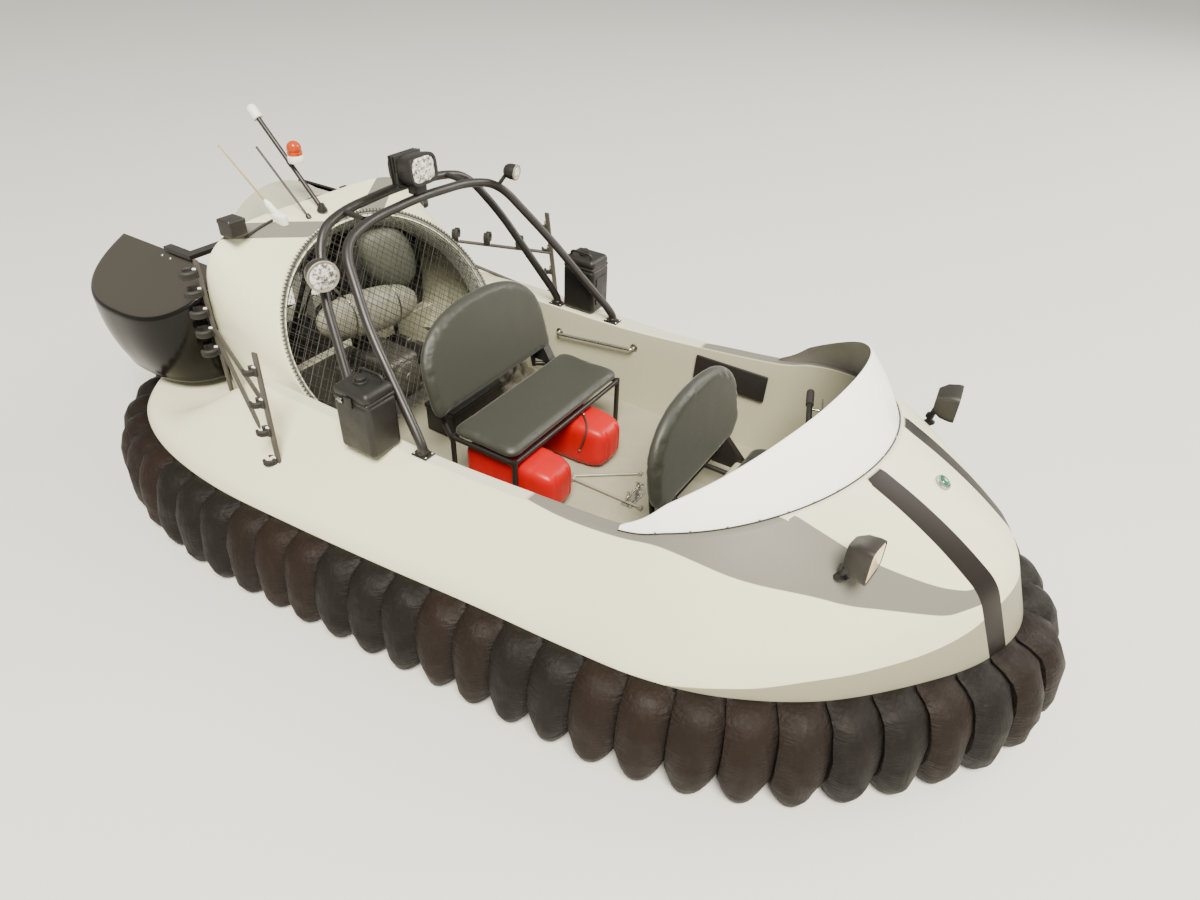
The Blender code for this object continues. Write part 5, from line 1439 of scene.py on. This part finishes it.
# Roof things: mast light, beacon, aerial base with two whips, corner box with its conduit
roofSet = {
    "mast": ((-1.25, -0.07), (-0.32, 0.0, 0.335)), "clampAt": 0.505,
    "aerialFoot": (-1.31, -0.26), "aerials": ((0.80, 0.22, 0.36), (0.62, 0.30, 0.30)),
    "corner": (0.09, 0.10, 0.11), "collar": ((0.024, 0), (0.024, 0.006), (0.015, 0.026), (0.0125, 0.034)),
    "lamp": ((0.021, 0), (0.0225, 0.004), (0.0225, 0.050), (0.019, 0.060), (0.011, 0.066), (0.003, 0.068)),
    "stay": ((-1.245, -0.150), (-1.505, -0.158, 1.385)), "socket": ((0.012, 0), (0.012, 0.010), (0.007, 0.022)),
    "grip": ((0.0125, -0.012), (0.0125, 0.012)), "beaconAt": (0.045, 0, 0.018),
    "beaconBase": ((0.033, -0.004), (0.035, 0.0), (0.035, 0.024), (0.032, 0.028)),
    "beaconFoot": [(0.032, 0.027), (0.0325, 0.040), (0.030, 0.042), (0.030, 0.045), (0.0315, 0.047)],
    "footRings": ((-0.030, 1.0), (0.0, 1.0), (0.008, 0.96), (0.014, 0.84), (0.017, 0.6)),
}


def cowlTopAt(x, y):
    # height of the cowl's roof, found by a ray straight down on its CAD faces
    return roofTree.ray_cast(Vector((x, y, 3.0)), Vector((0, 0, -1)))[0].z


def makeMast():
    use, low = roofSet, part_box("mast")[0].z
    start, run = Vector((*use["mast"][0], low + 0.012)), Vector(use["mast"][1])
    tip, along = start + run, run.normalized()
    buildPiece("mastLamp", turnedShape(use["lamp"], tip + along * 0.001, along, 28), whiteAbs,
               replaces=["mast_light"])
    buildPiece("mastPole", tubeShape([start, tip], 0.0105, 20), powderCoat, replaces=["mast"])
    (x, y), end = use["stay"]
    stay = tubeShape([(x, y, cowlTopAt(x, y) + 0.002), end], 0.005, 12)
    socket = turnedShape(use["socket"], (x - 0.001, y, cowlTopAt(x - 0.001, y) + 0.001), (-0.5, 0, 0.8), 20)
    buildPiece("mastStay", [stay, socket], powderCoat)
    clamp = start.lerp(tip, use["clampAt"])
    collar = turnedShape(use["collar"], (start.x, start.y, low + 0.0005), (0, 0, 1), 28)
    grip = turnedShape(use["grip"], clamp, along, 20)
    buildPiece("mastCollar", [collar, grip], powderCoat)
    foot = clamp + Vector(use["beaconAt"])
    off = Vector((along.z, 0, -along.x))
    stalk = tubeShape([clamp + off * 0.009, clamp + off * 0.030, foot + Vector((0, 0, 0.010))], 0.005, 12)
    base = turnedShape(use["beaconBase"], foot, (0, 0, 1), 32)
    buildPiece("beaconBase", [base, stalk], whiteAbs)
    dome = [(0.0315 * math.cos(t), 0.058 + 0.030 * math.sin(t)) for t in np.linspace(0, pi / 2 * 0.97, 9)]
    buildPiece("beaconDome", turnedShape(use["beaconFoot"] + dome, foot, (0, 0, 1), 36), beaconAmber,
               replaces=["beacon"])


def makeAerials():
    # boat-shaped foot: an oval 96 by 48 mm drawn in with height, tilted to the roof
    x, y = roofSet["aerialFoot"]
    spot = Vector((x, y, cowlTopAt(x, y) + 0.014))
    a = circle(40)
    oval = np.column_stack([np.cos(a) * 0.048, np.sin(a) * 0.024])
    rows = [at(oval * share, height) for height, share in roofSet["footRings"]]
    slope = (cowlTopAt(x, y + 0.02) - cowlTopAt(x, y - 0.02)) / 0.04
    shapes = [moved(solidShape(rows), Matrix.Translation(spot) @ Matrix.Rotation(math.atan(slope), 4, "X"))]
    whips = []
    for lean, out, length in roofSet["aerials"]:
        along = Vector((-lean, -out, 1.0)).normalized()
        shapes.append(turnedShape([(0.015, 0.004), (0.015, 0.060), (0.011, 0.072), (0.006, 0.085)], spot,
                                  along, 20))
        steps = np.linspace(0.04, length - 0.001, 12)[:, None]
        whips.append(tubeShape(np.array(spot) + steps * np.array(along), np.linspace(0.0058, 0.0030, 12), 10))
        whips.append(turnedShape([(0.0038, -0.006), (0.0038, 0.0)], spot + along * length, along, 12))
    buildPiece("aerialFoot", shapes, whiteAbs, replaces=["aerial_mount"])
    buildPiece("aerialWhips", whips, tanCane)


def makeRoof():
    makeMast()
    makeAerials()
    _, high, c, _ = boxOf("corner_box")
    wide, deep, tall = roofSet["corner"]
    x, y = c.x + 0.004, c.y + 0.008
    case = roundedBox((x, y, high.z - tall / 2 + 0.018), (wide - 0.008, deep - 0.016, tall - 0.036), 0.010, 5)
    lid = roundedBox((x, y, high.z - 0.012), (wide - 0.006, deep - 0.014, 0.0235), 0.008, 5)
    buildPiece("cornerCase", [case, lid], lampPlastic, replaces=["corner_box"])
    spots = [(x + dx, y + dy, high.z - 0.0005) for dx in (-0.034, 0.034) for dy in (-0.034, 0.034)]
    screws = screwHeads(spots, (0, 0, 1), 0.0035, 0.001)
    buildPiece("cornerScrews", screws, stainless)
    x = c.x + 0.01
    path = [(x, c.y + out, cowlTopAt(x, c.y + out) + 0.0065) for out in (0.052, 0.08, 0.12, 0.16, 0.20)]
    buildPiece("cornerConduit", tubeShape(roundedPath(path, 0.02), 0.0055, 12), beltRubber)


roofMesh = nodes["engine_cowl"].data
roofTree = BVHTree.FromPolygons([nodes["engine_cowl"].matrix_world @ v.co for v in roofMesh.vertices],
                                [list(face.vertices) for face in roofMesh.polygons])
# glass-fibre whips, weathered to a straw colour
tanCane = weathered("strawFibre", "#B7A27C", "#8E7A58", 60, 1.2, 0.0001, (0.45, 0.6))
makeRoof()

# Racks: flat strips up the cowl's sides with two rods between, rubber tool clips on them
rackSet = {
    "uprights": ((-1.355, 0.662, 1.07, 0.0), (-0.670, 0.950, 0.96, 0.04)), "strip": (0.026, 0.011),
    "rods": ((0.45, 0.10), (0.52, 0.60)), "rod": 0.009,
    "aftAt": (0.36, 0.50, 0.64, 0.78, 0.91), "foreAt": (0.16, 0.40, 0.62, 0.86), "barAt": (0.25, 0.5, 0.75),
}


def clipShapes(spot, along, way, size):
    # C-shaped jaw open outward: C(a) = spot + way (1.2 r) + r (cos a W + sin a S), a over 290 degrees
    along, way = Vector(along).normalized(), Vector(way).normalized()
    way = (way - along * way.dot(along)).normalized()
    side = along.cross(way)
    r = size * 0.36
    a = np.linspace(math.radians(38), math.radians(322), 22)
    centre = np.array(spot + way * (r + 0.012))
    ring = centre + r * (np.cos(a)[:, None] * np.array(way) + np.sin(a)[:, None] * np.array(side))
    thick = size * 0.10
    jaws = [tubeShape(ring + np.array(along) * k, thick, 12) for k in (-thick, 0.0, thick)]
    turn = Matrix((way, side, along)).transposed().to_4x4()
    base = roundedBox(spot + way * 0.011, (0.020, 0.026, 0.034), 0.005, 4, turn)
    tongue = roundedBox(spot + way * 0.014 + along * 0.019, (0.016, 0.012, 0.007), 0.002, 3, turn)
    return jaws + [base], [tongue]


def makeRacks():
    use = rackSet
    for side, name in sideNames:
        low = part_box("rack_" + name)[0].z
        shapes, rubber, bright = [], [], []
        ends = [(Vector((x, side * y, low + 0.002)), Vector((x - lean, side * (y - lean), top)))
                for x, y, top, lean in use["uprights"]]
        for start, end in ends:
            along = (end - start).normalized()
            out = Vector((0, side, 0))
            out = (out - along * out.dot(along)).normalized()
            turn = Matrix((out.cross(along), out, along)).transposed().to_4x4()
            size = (*use["strip"], (end - start).length)
            shapes.append(roundedBox(start.lerp(end, 0.5), size, 0.003, 4, turn))
            heads = [start.lerp(end, k) + out * 0.0056 for k in (0.03, 0.27, 0.97)]
            shapes += screwHeads(heads, out, 0.005, 0.003)
        (a0, a1), (f0, f1) = ends
        shapes += [tubeShape([a0.lerp(a1, aft), f0.lerp(f1, fore)], use["rod"], 14)
                   for aft, fore in use["rods"]]
        buildPiece("rackFrame_" + name, shapes, rackSteel, replaces=["rack_" + name])
        clips = [(a0.lerp(a1, k), a1 - a0, (-0.75, side * 0.66, 0.0), 0.088) for k in use["aftAt"]]
        clips += [(f0.lerp(f1, k), f1 - f0, (-0.95, side * 0.3, 0.0), 0.066) for k in use["foreAt"]]
        if side > 0:
            aft, fore = a0.lerp(a1, 0.52), f0.lerp(f1, 0.60)
            clips += [(aft.lerp(fore, k), fore - aft, (0, 0.2, 1.0), 0.080) for k in use["barAt"]]
        for clip in clips:
            jaws, tongue = clipShapes(*clip)
            rubber += jaws
            bright += tongue
        buildPiece("rackClips_" + name, rubber, beltRubber)
        buildPiece("rackTongues_" + name, bright, whiteAbs)


# painted steel strip of the racks, greyed and rubbed
rackSteel = weathered("rackSteel", "#4A4640", "#35312C", 40, 1.2, 0.0002, (0.45, 0.62), IOR=1.5)
makeRacks()

# Cockpit: grab rails with flanges, map pocket, handlebar with grips and levers, floor rods and latch
cockpitSet = {
    "rail": {"x": (-0.43, 0.01), "z": (0.475, 0.520), "out": 0.03},
    "bar": ((0.98, 0.36, 0.76), (1.02, 0.24, 0.76), (1.08, 0.10, 0.685), (1.08, 0.0, 0.685)),
    "rods": (((0.132, -0.069, 0.229), (0.371, 0.118, 0.229)), ((0.149, -0.095, 0.238), (0.492, -0.09, 0.232))),
    "plate": (0.36, 0.012, 0.125), "plateFrame": (0.35, 0.010, 0.03),
    # place and size of the latch's foot and its two ears
    "latch": (((0.430, -0.045, 0.2245), (0.05, 0.13, 0.007)), ((0.430, -0.085, 0.254), (0.022, 0.005, 0.062)),
              ((0.443, -0.085, 0.283), (0.032, 0.005, 0.010)), ((0.430, -0.005, 0.254), (0.022, 0.005, 0.062)),
              ((0.443, -0.005, 0.283), (0.032, 0.005, 0.010))),
    "latchRod": ((0.430, -0.105, 0.262), (0.430, 0.015, 0.262)),
    "gusset": ((-0.385, 0.335, 0.475), (-0.372, 0.335, 0.575), (-0.335, 0.335, 0.575), (-0.275, 0.335, 0.475)),
}


def wallAt(z):
    return 0.71 - 0.06 - 0.05 * (0.600 - z) / (0.600 - 0.22)


def makeRails():
    use = cockpitSet["rail"]
    for side, name in sideNames:
        low, high = (side * (wallAt(z) - 0.0022) for z in use["z"])
        (x0, x1), (z0, z1), out = use["x"], use["z"], side * use["out"]
        corners = [(x0, low, z0), (x0, low - out, z0), (x1, high - out, z1), (x1, high, z1)]
        path = roundedPath(corners, 0.016, 8)
        shapes = [tubeShape(path, 0.008, 18)]
        shapes += [turnedShape([(0.020, 0), (0.020, 0.0035), (0.010, 0.008)], end, (0, -side, 0), 28)
                   for end in (path[0], path[-1])]
        buildPiece("grabRail_" + name, shapes, stainless, replaces=["grab_rail_" + name])


def makeHandlebar():
    half = np.array(cockpitSet["bar"])
    path = np.vstack([half, half[-2::-1] * [1, -1, 1]])
    stem = turnedShape([(0.030, 0), (0.030, 0.017), (0.026, 0.020)], (1.0797, 0, 0.6613),
                       (-0.0042, 0, 0.0187), 32)
    buildPiece("barTube", [tubeShape(roundedPath(path, 0.05, 8), 0.0115, 20), stem], powderCoat,
               body="handlebar", replaces=["handlebar"])
    grips, levers = [], []
    # ribbed grip: r = 0.0152 + 0.0006 cos(36 pi t), its end drawn in
    t = np.linspace(0.0, 0.80, 41)
    ridge = 0.0152 + 0.0006 * np.cos(t * 2 * pi * 18)
    ridge[0] = 0.0135
    for side, _ in sideNames:
        end, inboard = half[:2] * [1, side, 1]
        grips.append(tubeShape(end + (inboard - end) * t[:, None], ridge, 20))
        mid = end * 0.14 + inboard * 0.86
        levers.append(tubeShape(roundedPath([mid + [0.004, 0, -0.012], mid + [0.050, side * 0.01, -0.010],
                                             end + [0.055, -side * 0.015, -0.008]], 0.02), 0.0042, 10))
    buildPiece("barGrips", grips, beltRubber, body="handlebar")
    buildPiece("barLevers", levers, stainless, body="handlebar")


def makeCockpit():
    makeRails()
    c = boxOf("wall_pocket")[2]
    tilt = Matrix.Rotation(-math.atan(0.05 / 0.41), 4, "X")
    plate = roundedBox(c, cockpitSet["plate"], 0.005, 4, tilt)
    frame = roundedBox((c.x, c.y - 0.006, c.z - 0.045), cockpitSet["plateFrame"], 0.004, 4, tilt)
    buildPiece("wallPlate", [plate, frame], mouldedPlastic, replaces=["wall_pocket"])
    makeHandlebar()
    rods = [tubeShape(rod, 0.006, 12) for rod in cockpitSet["rods"]]
    rods += [turnedShape([(0.010, -0.010), (0.010, 0.010)], end, (0, 1, 0), 16)
             for rod in cockpitSet["rods"] for end in rod]
    buildPiece("floorRods", rods, zincGrey)
    latch = [roundedBox(*box, 0.002) for box in cockpitSet["latch"]]
    buildPiece("floorLatch", latch + [tubeShape(cockpitSet["latchRod"], 0.0055, 12)], stainless)
    # gusset between the bench's back and pad at its port end
    buildPiece("benchGusset", prismShape(cockpitSet["gusset"], (0.0, 0.045)), powderCoat)


makeCockpit()
print("roof, racks and cockpit made")

# Floor and light: pale seamless floor, one broad soft light high to starboard, weak fill opposite
roomSet = {
    "floorHalf": 30.0, "key": {"place": (6.0, -7.5, 15.0), "size": 8.0, "power": 9000, "colour": "#FFF8E8"},
    "fill": {"place": (9.0, 12.0, 9.0), "size": 10.0, "power": 2600, "colour": "#FFFAF0"},
    "world": ("#F6F4EA", 0.80),
}
floorPaint = weathered("floorPale", "#D9D8D4", "#D2D1CD", 2600, 40.0, 0.0, (0.7, 0.8))
half = roomSet["floorHalf"]
ground = bpy.data.meshes.new("floorSheet")
ground.from_pydata([(x * half, y * half, 0) for x, y in ((-1, -1), (1, -1), (1, 1), (-1, 1))], [],
                   [(0, 1, 2, 3)])
ground.materials.append(floorPaint)
floorSheet = bpy.data.objects.new("floorSheet", ground)
bpy.context.scene.collection.objects.link(floorSheet)
for name in ("key", "fill"):
    use = roomSet[name]
    lampData = bpy.data.lights.new(name + "Light", "AREA")
    lampData.shape = "DISK"
    lampData.size = use["size"]
    lampData.energy = use["power"]
    lampData.color = linear(use["colour"])[:3]
    lamp = bpy.data.objects.new(name + "Light", lampData)
    lamp.location = use["place"]
    lamp.rotation_euler = (Vector((0, 0, 0.5)) - Vector(use["place"])).to_track_quat("-Z", "Y").to_euler()
    bpy.context.scene.collection.objects.link(lamp)
world = bpy.data.worlds.new("paleRoom")
world.use_nodes = True
world.node_tree.nodes["Background"].inputs["Color"].default_value = linear(roomSet["world"][0])
world.node_tree.nodes["Background"].inputs["Strength"].default_value = roomSet["world"][1]
bpy.context.scene.world = world
print("floor and light made")
